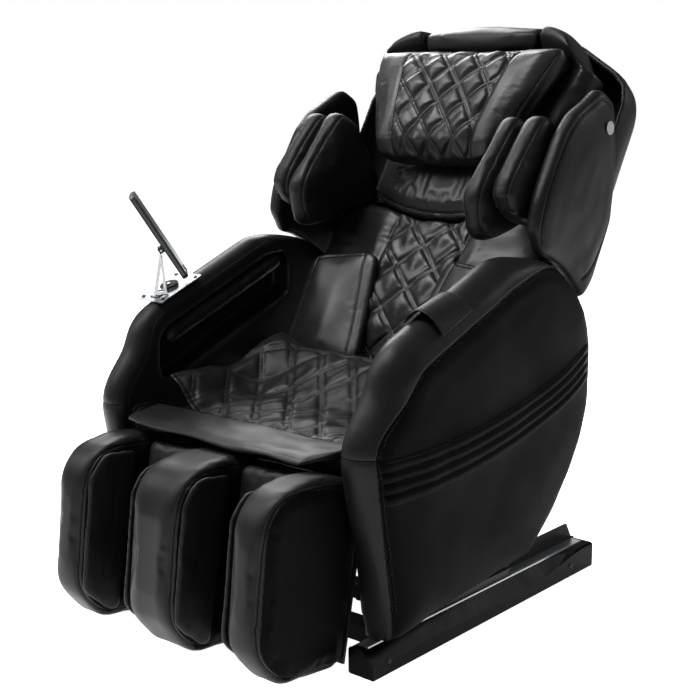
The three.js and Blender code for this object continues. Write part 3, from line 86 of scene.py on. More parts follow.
def out_of(place, points):
    """Millimetres of a place as points of the row frame, in metres."""
    m = np.array(place)
    return (np.asarray(points, float) @ m[:3, :3].T + m[:3, 3]) * MM


def row(x, y, z):
    """Points from their coordinates, of which some may be one number for all."""
    return np.stack(np.broadcast_arrays(x, y, z), axis=-1).astype(float)


# ------------------------------------------------------------------ materials
def colour(hex_code):
    """An sRGB hex code as linear colour."""
    values = [int(hex_code[k:k + 2], 16) / 255 for k in (1, 3, 5)]
    return (*[v / 12.92 if v <= 0.04045 else ((v + 0.055) / 1.055) ** 2.4 for v in values], 1)


def add(tree, kind, inputs=None, **settings):
    """Adds a node. An input is a value, another node, or one of another node's outputs."""
    made = tree.nodes.new(kind)
    for key, value in settings.items():
        setattr(made, key, value)
    for key, value in (inputs or {}).items():
        if isinstance(value, bpy.types.Node):
            value = value.outputs[0]
        if isinstance(value, bpy.types.NodeSocket):
            tree.links.new(value, made.inputs[key])
        else:
            made.inputs[key].default_value = value
    return made


def new_material(name):
    material = bpy.data.materials.new(name)
    material.use_nodes = True
    material.node_tree.nodes.clear()
    return material, material.node_tree


def object_place(tree):
    return add(tree, "ShaderNodeTexCoord").outputs["Object"]


def surface(tree, inputs):
    """Ends a material's tree in one all-round shader."""
    add(tree, "ShaderNodeOutputMaterial", {"Surface": add(tree, "ShaderNodeBsdfPrincipled", inputs)})


def per_mm(size):
    """Scale of a pattern whose cells are about this many millimetres."""
    return 1 / (size * MM)


def cloud(tree, at, size, **inputs):
    """Noise with cells of a size in millimetres."""
    return add(tree, "ShaderNodeTexNoise", {"Scale": per_mm(size), "Vector": at, **inputs})


def between(tree, pattern, low, high, start=0.0, end=1.0):
    """A value that goes from low to high as a pattern goes from start to end."""
    return add(tree, "ShaderNodeMapRange", {"Value": pattern, "From Min": start, "From Max": end,
                                            "To Min": low, "To Max": high})


def relief(tree, pattern, strength, depth, **under):
    """Bump of a pattern, its depth in millimetres, on top of another Normal if given."""
    return add(tree, "ShaderNodeBump", {"Height": pattern, "Strength": strength, "Distance": depth * MM,
                                        **under})


def leather(name, base, worn, roughness, specular):
    """Black synthetic leather, embossed with a pebble grain and rolled satin: it shows soft broad
    highlights, fine creases where it is pulled, and a greyer tone on worn, stretched places."""
    material, tree = new_material(name)
    at = object_place(tree)
    pebble = add(tree, "ShaderNodeTexVoronoi", {"Vector": at, "Scale": per_mm(2.6), "Randomness": 0.9},
                 feature="SMOOTH_F1")
    creases = cloud(tree, at, 34, Detail=5, Roughness=0.62, Distortion=0.7)
    wear = cloud(tree, at, 110, Detail=3)
    surface(tree, {
        "Base Color": add(tree, "ShaderNodeMixRGB", {"Fac": wear, "Color1": colour(base),
                                                     "Color2": colour(worn)}),
        "Roughness": between(tree, wear, roughness - 0.06, roughness + 0.08, 0.3, 0.7),
        "Normal": relief(tree, creases, 0.12, 3.2, Normal=relief(tree, pebble, 0.22, 0.25)),
        "IOR": 1.5, "Specular IOR Level": specular})
    return material


def coated_steel(name, base, roughness, peel=0.12, specular=0.2):
    """Sheet steel under black lacquer: gloss with a faint orange peel, dulled by dust."""
    material, tree = new_material(name)
    at = object_place(tree)
    dust = cloud(tree, at, 60, Detail=6, Roughness=0.7)
    surface(tree, {
        "Base Color": colour(base), "Roughness": between(tree, dust, roughness, roughness + 0.14, 0.35, 0.75),
        "Normal": relief(tree, cloud(tree, at, 7, Detail=2), peel, 0.3), "IOR": 1.5,
        "Specular IOR Level": specular, "Coat Weight": specular / 2, "Coat Roughness": 0.12})
    return material


def brushed_steel(name, base, roughness, along=(1, 26, 26)):
    """Bare metal drawn in one direction, so its highlight is streaked along that way."""
    material, tree = new_material(name)
    drawn = add(tree, "ShaderNodeMapping", {"Vector": object_place(tree), "Scale": along})
    lines = cloud(tree, drawn, 30, Detail=5)
    surface(tree, {"Base Color": colour(base), "Metallic": 1, "Normal": relief(tree, lines, 0.12, 0.1),
                   "Roughness": between(tree, lines, roughness - 0.06, roughness + 0.14)})
    return material


def moulded(name, base, roughness, specular=0.3):
    """Moulded black plastic, rubber or thread with a fine spark-eroded texture."""
    material, tree = new_material(name)
    at = object_place(tree)
    smear = cloud(tree, at, 50, Detail=4)
    surface(tree, {
        "Base Color": colour(base), "Roughness": between(tree, smear, roughness - 0.08, roughness + 0.08),
        "Normal": relief(tree, cloud(tree, at, 1.4, Detail=3), 0.2, 0.15), "IOR": 1.48,
        "Specular IOR Level": specular})
    return material


LEATHER = leather("synthetic_leather", "#0e0e0f", "#161617", roughness=0.44, specular=0.14)
# A darker, duller copy of the same leather for side panels that face away from the lamps: painted shade, not a
# different leather.
SHADED_SIDE_LEATHER = leather("painted_shade_side_leather", "#070708", "#0b0b0c", roughness=0.46, specular=0.022)
QUILT_LEATHER = leather("quilted_leather", "#131213", "#1c1b1b", roughness=0.38, specular=0.24)
THREAD = moulded("bonded_nylon_thread", "#353537", 0.7, specular=0.25)
# Near-black tube laid in seam folds: painted shade of the gap between two pieces of leather.
SEAM_SHADE = moulded("seam_shadow", "#040404", 0.9, specular=0.05)
GLOSS_STEEL = coated_steel("gloss_lacquered_steel", "#060607", 0.26, specular=0.035)
FRAME_STEEL = coated_steel("powder_coated_steel", "#1c1d1e", 0.5, peel=0.35)
BRIGHT_STEEL = brushed_steel("zinc_plated_steel", "#b4b6b8", 0.36)
PLATE_STEEL = brushed_steel("satin_stainless_steel", "#86888a", 0.42)
TRIM_ALUMINIUM = brushed_steel("grey_anodised_aluminium", "#4c4e50", 0.4, along=(1, 1, 1))
SCREEN_GLASS = coated_steel("black_screen_glass", "#070809", 0.08, peel=0.01)
DARK_SCREW = coated_steel("burnished_screw_steel", "#232425", 0.34)
BLACK_PLASTIC = moulded("moulded_abs", "#161617", 0.5)
RUBBER = moulded("moulded_rubber", "#151515", 0.8)

# ------------------------------------------------------------------ upholstery
WELD = 0.02 * MM
REACH = 400                            # how far before and behind a line its surface is looked for


def new_object(name, data):
    thing = bpy.data.objects.new(name, data)
    bpy.context.scene.collection.objects.link(thing)
    return thing


def bake(thing):
    """Turns the result of the modifiers into the object's own plain mesh."""
    result = bpy.data.meshes.new_from_object(thing.evaluated_get(bpy.context.evaluated_depsgraph_get()))
    thing.modifiers.clear()
    thing.data = result


def shade(mesh, smooth=True):
    mesh.polygons.foreach_set("use_smooth", [smooth] * len(mesh.polygons))


def read(items, key):
    """One three-part value of each item of a mesh."""
    flat = np.empty(len(items) * 3)
    items.foreach_get(key, flat)
    return flat.reshape(-1, 3)


def ramp(value, low, high):
    """0 up to low, 1 from high, smooth between."""
    t = np.clip((np.asarray(value, float) - low) / (high - low), 0, 1)
    return t * t * (3 - 2 * t)


def lengths(line):
    """Length along a polyline up to each of its points."""
    return np.concatenate([[0], np.cumsum(np.linalg.norm(np.diff(line, axis=0), axis=1))])


def dense(line, step=2.0):
    """A polyline resampled at about an even step."""
    line = np.asarray(line, float)
    run = lengths(line)
    at = np.linspace(0, run[-1], max(2, int(run[-1] / step) + 1))
    return np.stack([np.interp(at, run, line[:, k]) for k in range(3)], axis=1)


def curved(points, closed=False):
    """A smooth curve through a few points."""
    points = np.asarray(points, float)
    if closed:
        points = np.vstack([points[-1:], points, points[:2]])
    else:
        points = np.vstack([2 * points[0] - points[1], points, 2 * points[-1] - points[-2]])
    out = []
    for a, b, c, d in zip(points, points[1:], points[2:], points[3:]):
        t = np.linspace(0, 1, 13)[:-1, None]
        out.append(0.5 * (2 * b + (c - a) * t + (2 * a - 5 * b + 4 * c - d) * t ** 2
                          + (3 * b - a - 3 * c + d) * t ** 3))
    out.append(points[-2:-1])
    return dense(np.vstack(out))


class Skin:
    """A soft piece, shaped in one place: its solid remeshed evenly, swollen as cloth under a little
    air pressure, then drawn in along its seams. Lines and heights are in millimetres. side is the
    end of its node's name, and cover the start of its own name where that differs from the node's."""

    def __init__(self, part, body, voxel, smooth, side="", cover=None, shrink=0.0, air=None,
                 material=LEATHER):
        tail = f"_{side}" if side else ""
        self.node = part + tail
        self.name = (cover or part) + "_cover" + tail
        self.sign = SIDES.get(side.split("_")[-1], 0)
        self.body, self.place = body, PLACES[body]
        self.material, self.air = material, air
        self.rows, self.gaps = [], []
        self.painted_shade_sides = self.bends = None
        welded = bmesh.new()
        welded.from_mesh(frame["nodes"][self.node].data)
        bmesh.ops.remove_doubles(welded, verts=welded.verts, dist=WELD)
        mesh = bpy.data.meshes.new(self.name)
        welded.to_mesh(mesh)
        welded.free()
        self.thing = new_object(self.name, mesh)
        grid = self.thing.modifiers.new("grid", "REMESH")
        grid.mode = "VOXEL"
        grid.voxel_size = voxel * MM
        self.soften(smooth)
        if shrink:
            self.raise_by(np.full(len(self.thing.data.vertices), -float(shrink)))

    # -- reading and moving the mesh
    def points(self):
        return into(self.place, read(self.thing.data.vertices, "co"))

    def turned(self, directions):
        return directions @ np.array(self.place.inverted())[:3, :3].T

    def outward(self):
        return self.turned(read(self.thing.data.vertex_normals, "vector"))

    def faces(self):
        """Middle and direction of each face."""
        faces = self.thing.data.polygons
        return into(self.place, read(faces, "center")), self.turned(read(faces, "normal"))

    def put(self, points):
        self.thing.data.vertices.foreach_set("co", out_of(self.place, points).ravel())
        self.thing.data.update()

    def shift(self, x, y, z):
        self.put(self.points() + row(x, y, z))

    def raise_by(self, heights):
        self.put(self.points() + self.outward() * np.asarray(heights)[:, None])

    def surface(self):
        mesh = self.thing.data
        corners = [Vector(p) for p in self.points()]
        return BVHTree.FromPolygons(corners, [tuple(face.vertices) for face in mesh.polygons])

    def onto(self, line, tree=None, aim=None):
        """A line laid on the surface, nearest or looking along aim, with the surface's normals."""
        tree = tree or self.surface()
        spots, normals = [], []
        for p in line:
            hit = (None, None)
            if aim is not None:
                hit = tree.ray_cast(Vector(p) - Vector(aim) * REACH, Vector(aim), 2 * REACH)
            if hit[0] is None:
                hit = tree.find_nearest(Vector(p))
            spots.append(hit[0])
            normals.append(hit[1])
        return np.array(spots, float), np.array(normals, float)

    def finer(self):
        fine = self.thing.modifiers.new("fine", "SUBSURF")
        fine.levels = fine.render_levels = 1
        bake(self.thing)

    def refine(self, mask):
        """Halves the faces whose corners all lie where the mask says."""
        fine = bmesh.new()
        fine.from_mesh(self.thing.data)
        edges = [edge for edge in fine.edges if mask[edge.verts[0].index] and mask[edge.verts[1].index]]
        bmesh.ops.subdivide_edges(fine, edges=edges, cuts=1, use_grid_fill=True)
        fine.to_mesh(self.thing.data)
        fine.free()

    def hold(self, name, weights, levels=1):
        """A new vertex group, its weights rounded to levels."""
        self.thing.vertex_groups.clear()
        group = self.thing.vertex_groups.new(name=name)
        for level in range(1, levels + 1):
            here = np.nonzero(np.rint(weights * levels) == level)[0]
            group.add([int(k) for k in here], level / levels, "REPLACE")
        return name

    def thin_out(self, hidden, left=0.15):
        """Leaves only a share of the faces where the mask says that no one sees them."""
        group = self.hold("hidden", hidden.astype(float))
        fewer = self.thing.modifiers.new("fewer", "DECIMATE")
        fewer.vertex_group = group
        fewer.ratio = 1 - (1 - left) * float(np.mean(hidden))
        bake(self.thing)
        self.thing.vertex_groups.clear()

    def soften(self, rounds, group=""):
        soft = self.thing.modifiers.new("soft", "SMOOTH")
        soft.factor = 0.5
        soft.iterations = rounds
        soft.vertex_group = group
        bake(self.thing)

    def polish(self, weight, rounds):
        """Smooths the facets of broad faces away, as much as the weight says."""
        self.soften(rounds, self.hold("polish", weight, 5))
        self.thing.vertex_groups.clear()

    def near(self, line, reach=60.0):
        """Distance of each point to a line, and the length along the line to its nearest point."""
        tree = KDTree(len(line))
        for k, p in enumerate(line):
            tree.insert(p, k)
        tree.balance()
        run = lengths(line)
        points = self.points()
        away = np.full(len(points), 1e3)
        along = np.zeros(len(points))
        low, high = line.min(0) - reach, line.max(0) + reach
        for k in np.nonzero(np.all((points > low) & (points < high), axis=1))[0]:
            _, index, distance = tree.find(points[k])
            away[k], along[k] = distance, run[index]
        return away, along

    # -- sewing
    def seam(self, line, dip, width, puff, pucker, soft=26.0, pitch=17.0, aim=None, gap=True, stitched=(),
             reach=60.0):
        """Draws the leather in along a seam, lets it swell beside it, and notes its gap and stitches."""
        line, _ = self.onto(line, aim=aim)
        away, along = self.near(line, reach)
        swollen = puff * (1 - np.exp(-(away / soft) ** 2)) * np.exp(-(away / reach * 1.8) ** 4)
        gathers = np.exp(-away / 16) * np.sin(2 * np.pi * along / pitch + 2.3 * np.sin(along / pitch * 1.7))
        height = swollen + pucker * gathers - dip * np.exp(-(away / width) ** 2)
        self.raise_by(np.where(away < reach, height, 0))
        if gap:
            self.gaps.append(line)
        self.stitch(line, *stitched)

    def stitch(self, line, *offsets):
        self.rows += [(line, offset) for offset in offsets]

    def ripple(self, height, size, stretch=(1, 1, 1), where=1.0, seed=0):
        """Soft irregular folds of a given size, stretched along the axes."""
        points = self.points() / (size * np.asarray(stretch, float))
        start = Vector((seed * 7.3, 0, 0))
        values = np.array([noise.fractal(Vector(p) + start, 1.0, 2.1, 2) for p in points])
        self.raise_by(height * values * where)

    def finish(self, fill, rear=None):
        """Thins out what turns to the rear by more than rear, sets the finish, hides the part the piece
        stands for, and sews its stitches."""
        if rear is not None:
            self.thin_out(self.outward()[:, 1] > rear)
        mesh = self.thing.data
        mesh.materials.clear()
        mesh.materials.append(self.material)
        shade(mesh)
        mesh.update()
        # Faces picked by the mask get the darker copy of the leather: painted shade.
        if self.painted_shade_sides:
            mesh.materials.append(SHADED_SIDE_LEATHER)
            mesh.polygons.foreach_set("material_index", self.painted_shade_sides(*self.faces()).astype(np.int32))
        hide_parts(self.node)
        for thing in [self.thing, *self.sewing()]:
            if self.bends:
                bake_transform(thing)
            else:
                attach(thing, self.body)

    def sewing(self):
        """One mesh of thread for all stitch rows, and one of painted shade along the lines where seams close.
        """
        tree = self.surface()
        things, rows = [], []
        for line, offset in self.rows:
            spots, normals = self.onto(line, tree)
            side = np.cross(normals, np.gradient(spots, axis=0))
            side /= np.linalg.norm(side, axis=1, keepdims=True) + 1e-9
            rows.append(self.onto(spots + side * offset, tree))
        if rows:
            things.append(follow(self.name + "_stitching", self.place, rows, STITCHES,
                                 {"Pitch": 5.2 * MM, "Length": 3.6 * MM, "Radius": 0.45 * MM}, THREAD))
        closed = [self.onto(line, tree) for line in self.gaps]
        if closed:
            things.append(follow(self.name + "_seam_lines", self.place, closed, SEAM_LINE,
                                 {"Radius": 0.75 * MM}, SEAM_SHADE))
        return things


# ------------------------------------------------------------------ thread and seam lines
def new_tree(name, sizes):
    """A geometry node tree with a mesh in, a mesh out, named sizes and a material."""
    tree = bpy.data.node_groups.new(name, "GeometryNodeTree")
    tree.interface.new_socket("Geometry", in_out="INPUT", socket_type="NodeSocketGeometry")
    for size in sizes:
        tree.interface.new_socket(size, in_out="INPUT", socket_type="NodeSocketFloat")
    tree.interface.new_socket("Finish", in_out="INPUT", socket_type="NodeSocketMaterial")
    tree.interface.new_socket("Geometry", in_out="OUTPUT", socket_type="NodeSocketGeometry")
    return tree, add(tree, "NodeGroupInput").outputs


def end_tree(tree, geometry, finish):
    """Real geometry with its finish set."""
    real = add(tree, "GeometryNodeRealizeInstances", {"Geometry": geometry})
    add(tree, "NodeGroupOutput", {
        "Geometry": add(tree, "GeometryNodeSetMaterial", {"Geometry": real, "Material": finish})})
    return tree


def turned_to(tree, direction):
    """Turns an instance's Z axis along a direction."""
    return add(tree, "FunctionNodeAlignEulerToVector", {"Vector": direction}, axis="Z")


def outward_of(tree):
    return add(tree, "GeometryNodeInputNamedAttribute", {"Name": "outward"}, data_type="FLOAT_VECTOR")


def stitch_tree():
    """Short round-ended threads along each line, lying on the leather."""
    tree, given = new_tree("stitch_row", ["Pitch", "Length", "Radius"])
    path = add(tree, "GeometryNodeMeshToCurve", {"Mesh": given["Geometry"]})
    spaced = add(tree, "GeometryNodeResampleCurve", {"Curve": path, "Length": given["Pitch"]}, mode="LENGTH")
    ball = add(tree, "GeometryNodeMeshUVSphere", {"Segments": 4, "Rings": 3, "Radius": 0.5})
    thick = add(tree, "ShaderNodeMath", {0: given["Radius"], 1: 2.0}, operation="MULTIPLY")
    size = add(tree, "ShaderNodeCombineXYZ", {"X": thick, "Y": thick, "Z": given["Length"]})
    thread = add(tree, "GeometryNodeTransform", {"Geometry": ball, "Scale": size})
    sunk = add(tree, "ShaderNodeMath", {0: given["Radius"], 1: 0.4}, operation="MULTIPLY")
    lift = add(tree, "ShaderNodeVectorMath", {0: outward_of(tree), "Scale": sunk}, operation="SCALE")
    raised = add(tree, "GeometryNodeSetPosition", {"Geometry": spaced, "Offset": lift})
    along = turned_to(tree, add(tree, "GeometryNodeInputTangent"))
    sewn = add(tree, "GeometryNodeInstanceOnPoints", {"Points": raised, "Instance": thread, "Rotation": along})
    return end_tree(tree, sewn, given["Finish"])


def seam_tree():
    """A thin dark tube along each line, sunk in the fold where two pieces of leather meet: painted shade of
    the seam's gap.
    """
    tree, given = new_tree("seam_line", ["Radius"])
    path = add(tree, "GeometryNodeMeshToCurve", {"Mesh": given["Geometry"]})
    ring = add(tree, "GeometryNodeCurvePrimitiveCircle", {"Resolution": 6, "Radius": given["Radius"]},
               mode="RADIUS")
    swept = add(tree, "GeometryNodeCurveToMesh", {"Curve": path, "Profile Curve": ring, "Fill Caps": True})
    return end_tree(tree, swept, given["Finish"])


STITCHES = stitch_tree()
SEAM_LINE = seam_tree()


def follow(name, place, lines, tree, sizes, finish):
    """A mesh made by a tree along lines given as (points, normals)."""
    mesh = bpy.data.meshes.new(name)
    points, outward, edges = [], [], []
    for spots, normals in lines:
        edges += [(len(points) + k, len(points) + k + 1) for k in range(len(spots) - 1)]
        points += list(spots)
        outward += list(normals)
    mesh.from_pydata(out_of(place, points), edges, [])
    turned = np.asarray(outward) @ np.array(place)[:3, :3].T
    mesh.attributes.new("outward", "FLOAT_VECTOR", "POINT").data.foreach_set("vector", turned.ravel())
    thing = new_object(name, mesh)
    made = thing.modifiers.new("made", "NODES")
    made.node_group = tree
    values = {**sizes, "Finish": finish}
    for socket in tree.interface.items_tree:
        if socket.in_out == "INPUT" and socket.name in values:
            made[socket.identifier] = values[socket.name]
    bake(thing)
    shade(thing.data)
    return thing


# ------------------------------------------------------------------ air pressure
SWELL_FRAMES = 20


def air(pressure, slack, cap, held, bend=4):
    """How a skin is swollen: its pressure, the slack of its leather, how many millimetres it may
    move, how much each point is held, and how stiffly it bends."""
    return {"pressure": pressure, "slack": slack, "cap": cap, "held": held, "bend": bend}


def backed(low, high):
    """Holds a piece where it meets its backing: fully up to low in front of its place's origin."""
    return lambda p: 1 - ramp(-p[:, 1], low, high)


def inflate(skins):
    """Swells the skins as cloth under pressure, all in one run."""
    skins = [skin for skin in skins if skin.air]
    for skin in skins:
        cloth = skin.thing.modifiers.new("swell", "CLOTH")
        settings = cloth.settings
        settings.quality = 5
        settings.mass = 0.3
        settings.use_pressure = True
        settings.uniform_pressure_force = skin.air["pressure"]
        settings.shrink_min = -skin.air["slack"]
        settings.tension_stiffness = settings.compression_stiffness = 15
        settings.bending_stiffness = skin.air["bend"]
        settings.effector_weights.gravity = 0
        settings.vertex_group_mass = skin.hold("held", skin.air["held"](skin.points()), 10)
        cloth.collision_settings.use_collision = False
        cloth.point_cache.frame_end = SWELL_FRAMES
    for number in range(1, SWELL_FRAMES + 1):
        bpy.context.scene.frame_set(number)
    graph = bpy.context.evaluated_depsgraph_get()
    for skin in skins:
        start = skin.points()
        swollen = skin.thing.evaluated_get(graph)
        move = into(skin.place, read(swollen.to_mesh().vertices, "co")) - start
        swollen.to_mesh_clear()
        size = np.linalg.norm(move, axis=1, keepdims=True)
        skin.thing.modifiers.clear()
        skin.thing.vertex_groups.clear()
        skin.put(start + move * np.minimum(1, skin.air["cap"] / np.maximum(size, 1e-6)))
    bpy.context.scene.frame_set(1)


# ------------------------------------------------------------------ quilting
SEWN_BESIDE = 3.2                      # two rows of stitches, so far from each diamond line


def quilt(skin, across, up, inside, rise, wide, high):
    """Double-stitched diamonds: a flat band between two grooves along each line, leather puffed
    between. across and up are panel coordinates of the points, inside is 1 in the panel."""
    pitch = 1 / math.hypot(1 / wide, 1 / high)
    a, b = across / wide + up / high, across / wide - up / high
    near_a, near_b = (np.abs(v - np.rint(v)) * pitch for v in (a, b))
    near = np.minimum(near_a, near_b)
    puff = rise * (1 - np.exp(-(np.maximum(near - 3.6, 0) / 4.6) ** 1.2))
    crossing = np.exp(-((near_a / 9) ** 2 + (near_b / 9) ** 2))
    band = 2.0 * np.exp(-(near / 2.5) ** 4)
    skin.raise_by(inside * (puff + band - 1.5 * crossing - rise * 0.45))


def quilt_lines(skin, aim, lay, half, low, high, wide, tall):
    """Stitch rows along the diamond lines of a panel. lay turns the panel's coordinates into points
    of the place, and says which of them lie in the panel."""
    count = int(half / wide + (high - low) / tall) + 2
    for slope in (1, -1):
        for k in range(int(-half / wide + low / tall) - count, int(half / wide + high / tall) + count):
            up = np.linspace(low, high, int((high - low) / 2.0))
            for stretch in clip(*lay(slope * (k - up / tall) * wide, up)):
                if len(stretch) > 5:
                    spots, _ = skin.onto(stretch, aim=aim)
                    skin.stitch(spots, SEWN_BESIDE, -SEWN_BESIDE)


def clip(line, inside):
    """The stretches of a line that lie inside a panel."""
    stretches, run = [], []
    for point, ok in zip(line, inside):
        if ok:
            run.append(point)
        elif run:
            stretches.append(run)
            run = []
    if run:
        stretches.append(run)
    return stretches


# ------------------------------------------------------------------ back
PILLOW_LOW, PILLOW_HIGH = 462, 728
PILLOW_DIAMOND = (74, 84)              # width and height
BACK_DIAMOND = (104, 104)
BACK_QUILT = 104                       # half the width of the quilted panel


def pillow_share(z):
    return np.clip((z - PILLOW_LOW) / (PILLOW_HIGH - PILLOW_LOW), 0, 1)


def pillow_quilt_half(z):
    return 6 * 21.5 * (0.78 + 0.36 * pillow_share(z))


def pillow_half(z):
    return 152 + (248 - 152) * pillow_share(z) ** 0.85


def pillow_spread(z):
    """How much wider the pillow's diamonds are at a height than their own width."""
    return 0.8 + 0.34 * pillow_share(z)


def make_pillow():
    return Skin("head_pillow", "back", voxel=4.5, smooth=12, material=QUILT_LEATHER,
                air=air(2.5, 0.004, 8, backed(-10, 25)))


def sew_pillow(skin):
    skin.shift(0, -2, 9)
    skin.finer()
    (x, _, z), front = skin.points().T, ramp(-skin.outward()[:, 1], 0.25, 0.6)
    inside = ramp(pillow_quilt_half(z) - np.abs(x), 0, 10) * front * ramp(z, 466, 486) * ramp(726 - z, 0, 10)
    quilt(skin, x / pillow_spread(z), z, inside, 6, *PILLOW_DIAMOND)
    z = np.linspace(470, 722, 90)
    for sign in (1, -1):
        skin.seam(row(sign * pillow_quilt_half(z), -90, z), dip=3.2, width=4.5, puff=1.5, pucker=0.2,
                  aim=TOWARDS, stitched=(-4.5 * sign,))
        skin.seam(row(sign * (pillow_half(z) - 9), -70, z), dip=2.2, width=4.0, puff=0.8, pucker=0.15,
                  aim=TOWARDS, stitched=(4.0 * sign,))

    def lay(x, z):
        return row(x * pillow_spread(z), -90, z), np.abs(x * pillow_spread(z)) < pillow_quilt_half(z) - 3
    quilt_lines(skin, TOWARDS, lay, 200, 474, 718, *PILLOW_DIAMOND)
    skin.ripple(2.2, 60, (1, 1, 2.2), seed=3, where=1 - inside * 0.7)
    skin.finish(fill=0.8, rear=0.3)


def scoop(x):
    """Height of the back cushion's top edge, hollowed under the neck pad."""
    return 412 - 46 * (1 - (x / 200) ** 2)


def make_back_cushion():
    return Skin("back_cushion", "back", voxel=5, smooth=22, shrink=1.5, material=QUILT_LEATHER,
                air=air(2.0, 0.004, 8, lambda p: np.maximum(backed(-38, -10)(p), 1 - ramp(p[:, 2], -10, 40))))


def sew_back_cushion(skin):
    x, _, z = skin.points().T
    spread = 92 * ramp(np.abs(x), 150, 200) * ramp(z, 222, 250) * (1 - ramp(z, 350, 450))
    skin.shift(np.sign(x) * spread, 0, 0)
    skin.finer()
    (x, _, z), front = skin.points().T, ramp(-skin.outward()[:, 1], 0.3, 0.65)
    inside = ramp(BACK_QUILT - np.abs(x), 0, 9) * front * ramp(z, 0, 20)
    quilt(skin, x, z + 14, inside, 6.5, *BACK_DIAMOND)
    z = np.linspace(4, 376, 120)
    for sign in (1, -1):
        skin.seam(row(sign * BACK_QUILT, -60, z), dip=3.5, width=4.5, puff=2.0, pucker=0.5, pitch=21,
                  aim=TOWARDS, stitched=(4.5, -4.5))

    def lay(x, z):
        return row(x, -60, z - 14), (np.abs(x) < BACK_QUILT - 3) & (z - 14 < scoop(x) - 4)
    quilt_lines(skin, TOWARDS, lay, 130, 16, 424, *BACK_DIAMOND)
    skin.ripple(3.0, 70, (1.6, 1, 0.7), seed=5, where=(1 - inside) * front)
    skin.finish(fill=0.7, rear=0.1)


def make_hip_pad(side):
    return Skin("hip_pad", "back", voxel=4, smooth=7, side=side, material=QUILT_LEATHER,
                air=air(2.0, 0.002, 4, backed(12, 20), bend=8))


def hip_outline(sign, inset=8):
    points = [(84 + inset, 6 + inset), (236 - inset, 6 + inset), (250 - inset, 26 + inset),
              (253 - inset, 215 - inset), (242 - inset, 238 - inset), (124 + inset, 256 - inset),
              (111 + inset, 246 - inset), (71 + inset, 20 + inset)]
    return curved([(sign * x, -60, z) for x, z in points], closed=True)


def sew_hip_pad(skin):
    x, y, _ = skin.points().T
    x = skin.sign * x
    front, inner = ramp(-y, 20, 50), 1 - ramp(x, 100, 170)
    spread = 12 * ramp(x, 180, 240) - 18 * inner * (1 - front)
    skin.shift(skin.sign * spread, 9 * inner * front - 3 * front, 0)
    skin.finer()
    skin.ripple(2.0, 84, (1.0, 1, 1.5), seed=8 + skin.sign, where=ramp(-skin.outward()[:, 1], 0.3, 0.8))
    skin.seam(hip_outline(skin.sign), dip=2.0, width=3.2, puff=0.8, pucker=0, aim=TOWARDS,
              stitched=(-3.6, 3.6))
    skin.finish(fill=0.6, rear=0.1)


def make_neck_pad():
    return Skin("neck_pad", "back", voxel=5, smooth=18, shrink=1, material=QUILT_LEATHER,
                air=air(2, 0.01, 6, backed(-20, 15)))


def sew_neck_pad(skin):
    skin.finer()
    skin.ripple(1.7, 70, (0.8, 1, 2.6), seed=14, where=ramp(-skin.outward()[:, 1], 0.2, 0.7))
    x = np.linspace(-186, 186, 130)
    skin.seam(row(x, -50, scoop(x) + 14), aim=TOWARDS, dip=2.2, width=3.5, puff=1.8, pucker=0.4, pitch=19)
    skin.finish(fill=0.7, rear=0.1)


def make_shoulder_pad(side):
    return Skin("shoulder_pad", "back", voxel=5, smooth=16, side=side, shrink=1,
                air=air(2, 0.008, 6, backed(-20, 20)))


def pad_outline(low, x):
    """Side view of a shoulder pad."""
    points = [(152, low + 34), (186, 290), (202, 345), (188, 440), (166, 520), (140, 536), (100, 538),
              (40, 512)]
    return curved([(x, -d, z) for d, z in points])


def sew_shoulder_pad(skin):
    inner = "inner" in skin.node
    low, first, lifted = (238, 208, 140) if inner else (286, 268, 62)
    _, y, z = skin.points().T
    skin.shift(0, 0, lifted * (1 - ramp(-y, -40, 150)) * (1 - ramp(z, low, low + 190)))
    skin.finer()
    skin.ripple(2.0, 80, (1.4, 0.8, 1.8), seed=20 + skin.sign + 3 * inner,
                where=ramp(-skin.points()[:, 1], 0, 60))
    for offset, way in ((2, 1), (48, -1)):
        skin.seam(pad_outline(low, skin.sign * (first + offset)), dip=1.8, width=3.6, puff=0.8, pucker=0.15,
                  stitched=(4 * skin.sign * way,))
    skin.finish(fill=0.8, rear=0.3)


def make_wing(side):
    return Skin("side_wing", "back", voxel=5, smooth=18, side=side, shrink=1)


def wing_rim(x, inset=11):
    points = [(-76, 272), (-104, 330), (-116, 430), (-86, 520), (-40, 592), (8, 640), (58, 640), (100, 590),
              (134, 530), (144, 470), (146, 380), (132, 310), (112, 262)]
    middle = np.array((20, 440))
    points = [middle + (np.array(q) - middle) * (1 - inset / 170) for q in points]
    return curved([(x, -d, z) for d, z in points])


def sew_wing(skin):
    skin.finer()
    skin.seam(wing_rim(skin.sign * 375), dip=2.2, width=4.0, puff=1.0, pucker=0.12,
              stitched=(4.2 * skin.sign,))
    skin.ripple(1.8, 90, (1.5, 0.8, 1.4), seed=31)
    skin.finish(fill=0.9)


def make_hood(part, side=""):
    return Skin(part, "back", voxel=6, smooth=22, side=side, shrink=1,
                air=air(1.5, 0.006, 6, backed(-36, -10)))


def sew_hood(skin):
    x, _, z = skin.points().T
    fall = 70 * ramp(np.abs(x), 165, 320) - 5 * ramp(np.abs(x), 110, 150)
    skin.shift(0, 0, -fall * ramp(z, 690, 800))
    skin.finer()
    skin.ripple(2.4, 110, (1.3, 1, 1.6), seed=40 + skin.sign)
    if skin.sign:
        skin.seam(row(skin.sign * 160, -90, np.linspace(600, 800, 90)), dip=1.5, width=3.6, puff=0.6,
                  pucker=0.3, aim=TOWARDS, stitched=(4.0,))
    skin.finish(fill=0.8, rear=0.3)


def make_shell():
    skin = Skin("back_shell", "back", voxel=5.5, smooth=3)
    (x, y, _), (across, rearward, _) = skin.points().T, skin.outward().T
    broad = (rearward > 0.15) | (np.abs(x) * np.abs(across) > 200)
    skin.polish(broad * ramp(y, 52, 60), 40)
    return skin


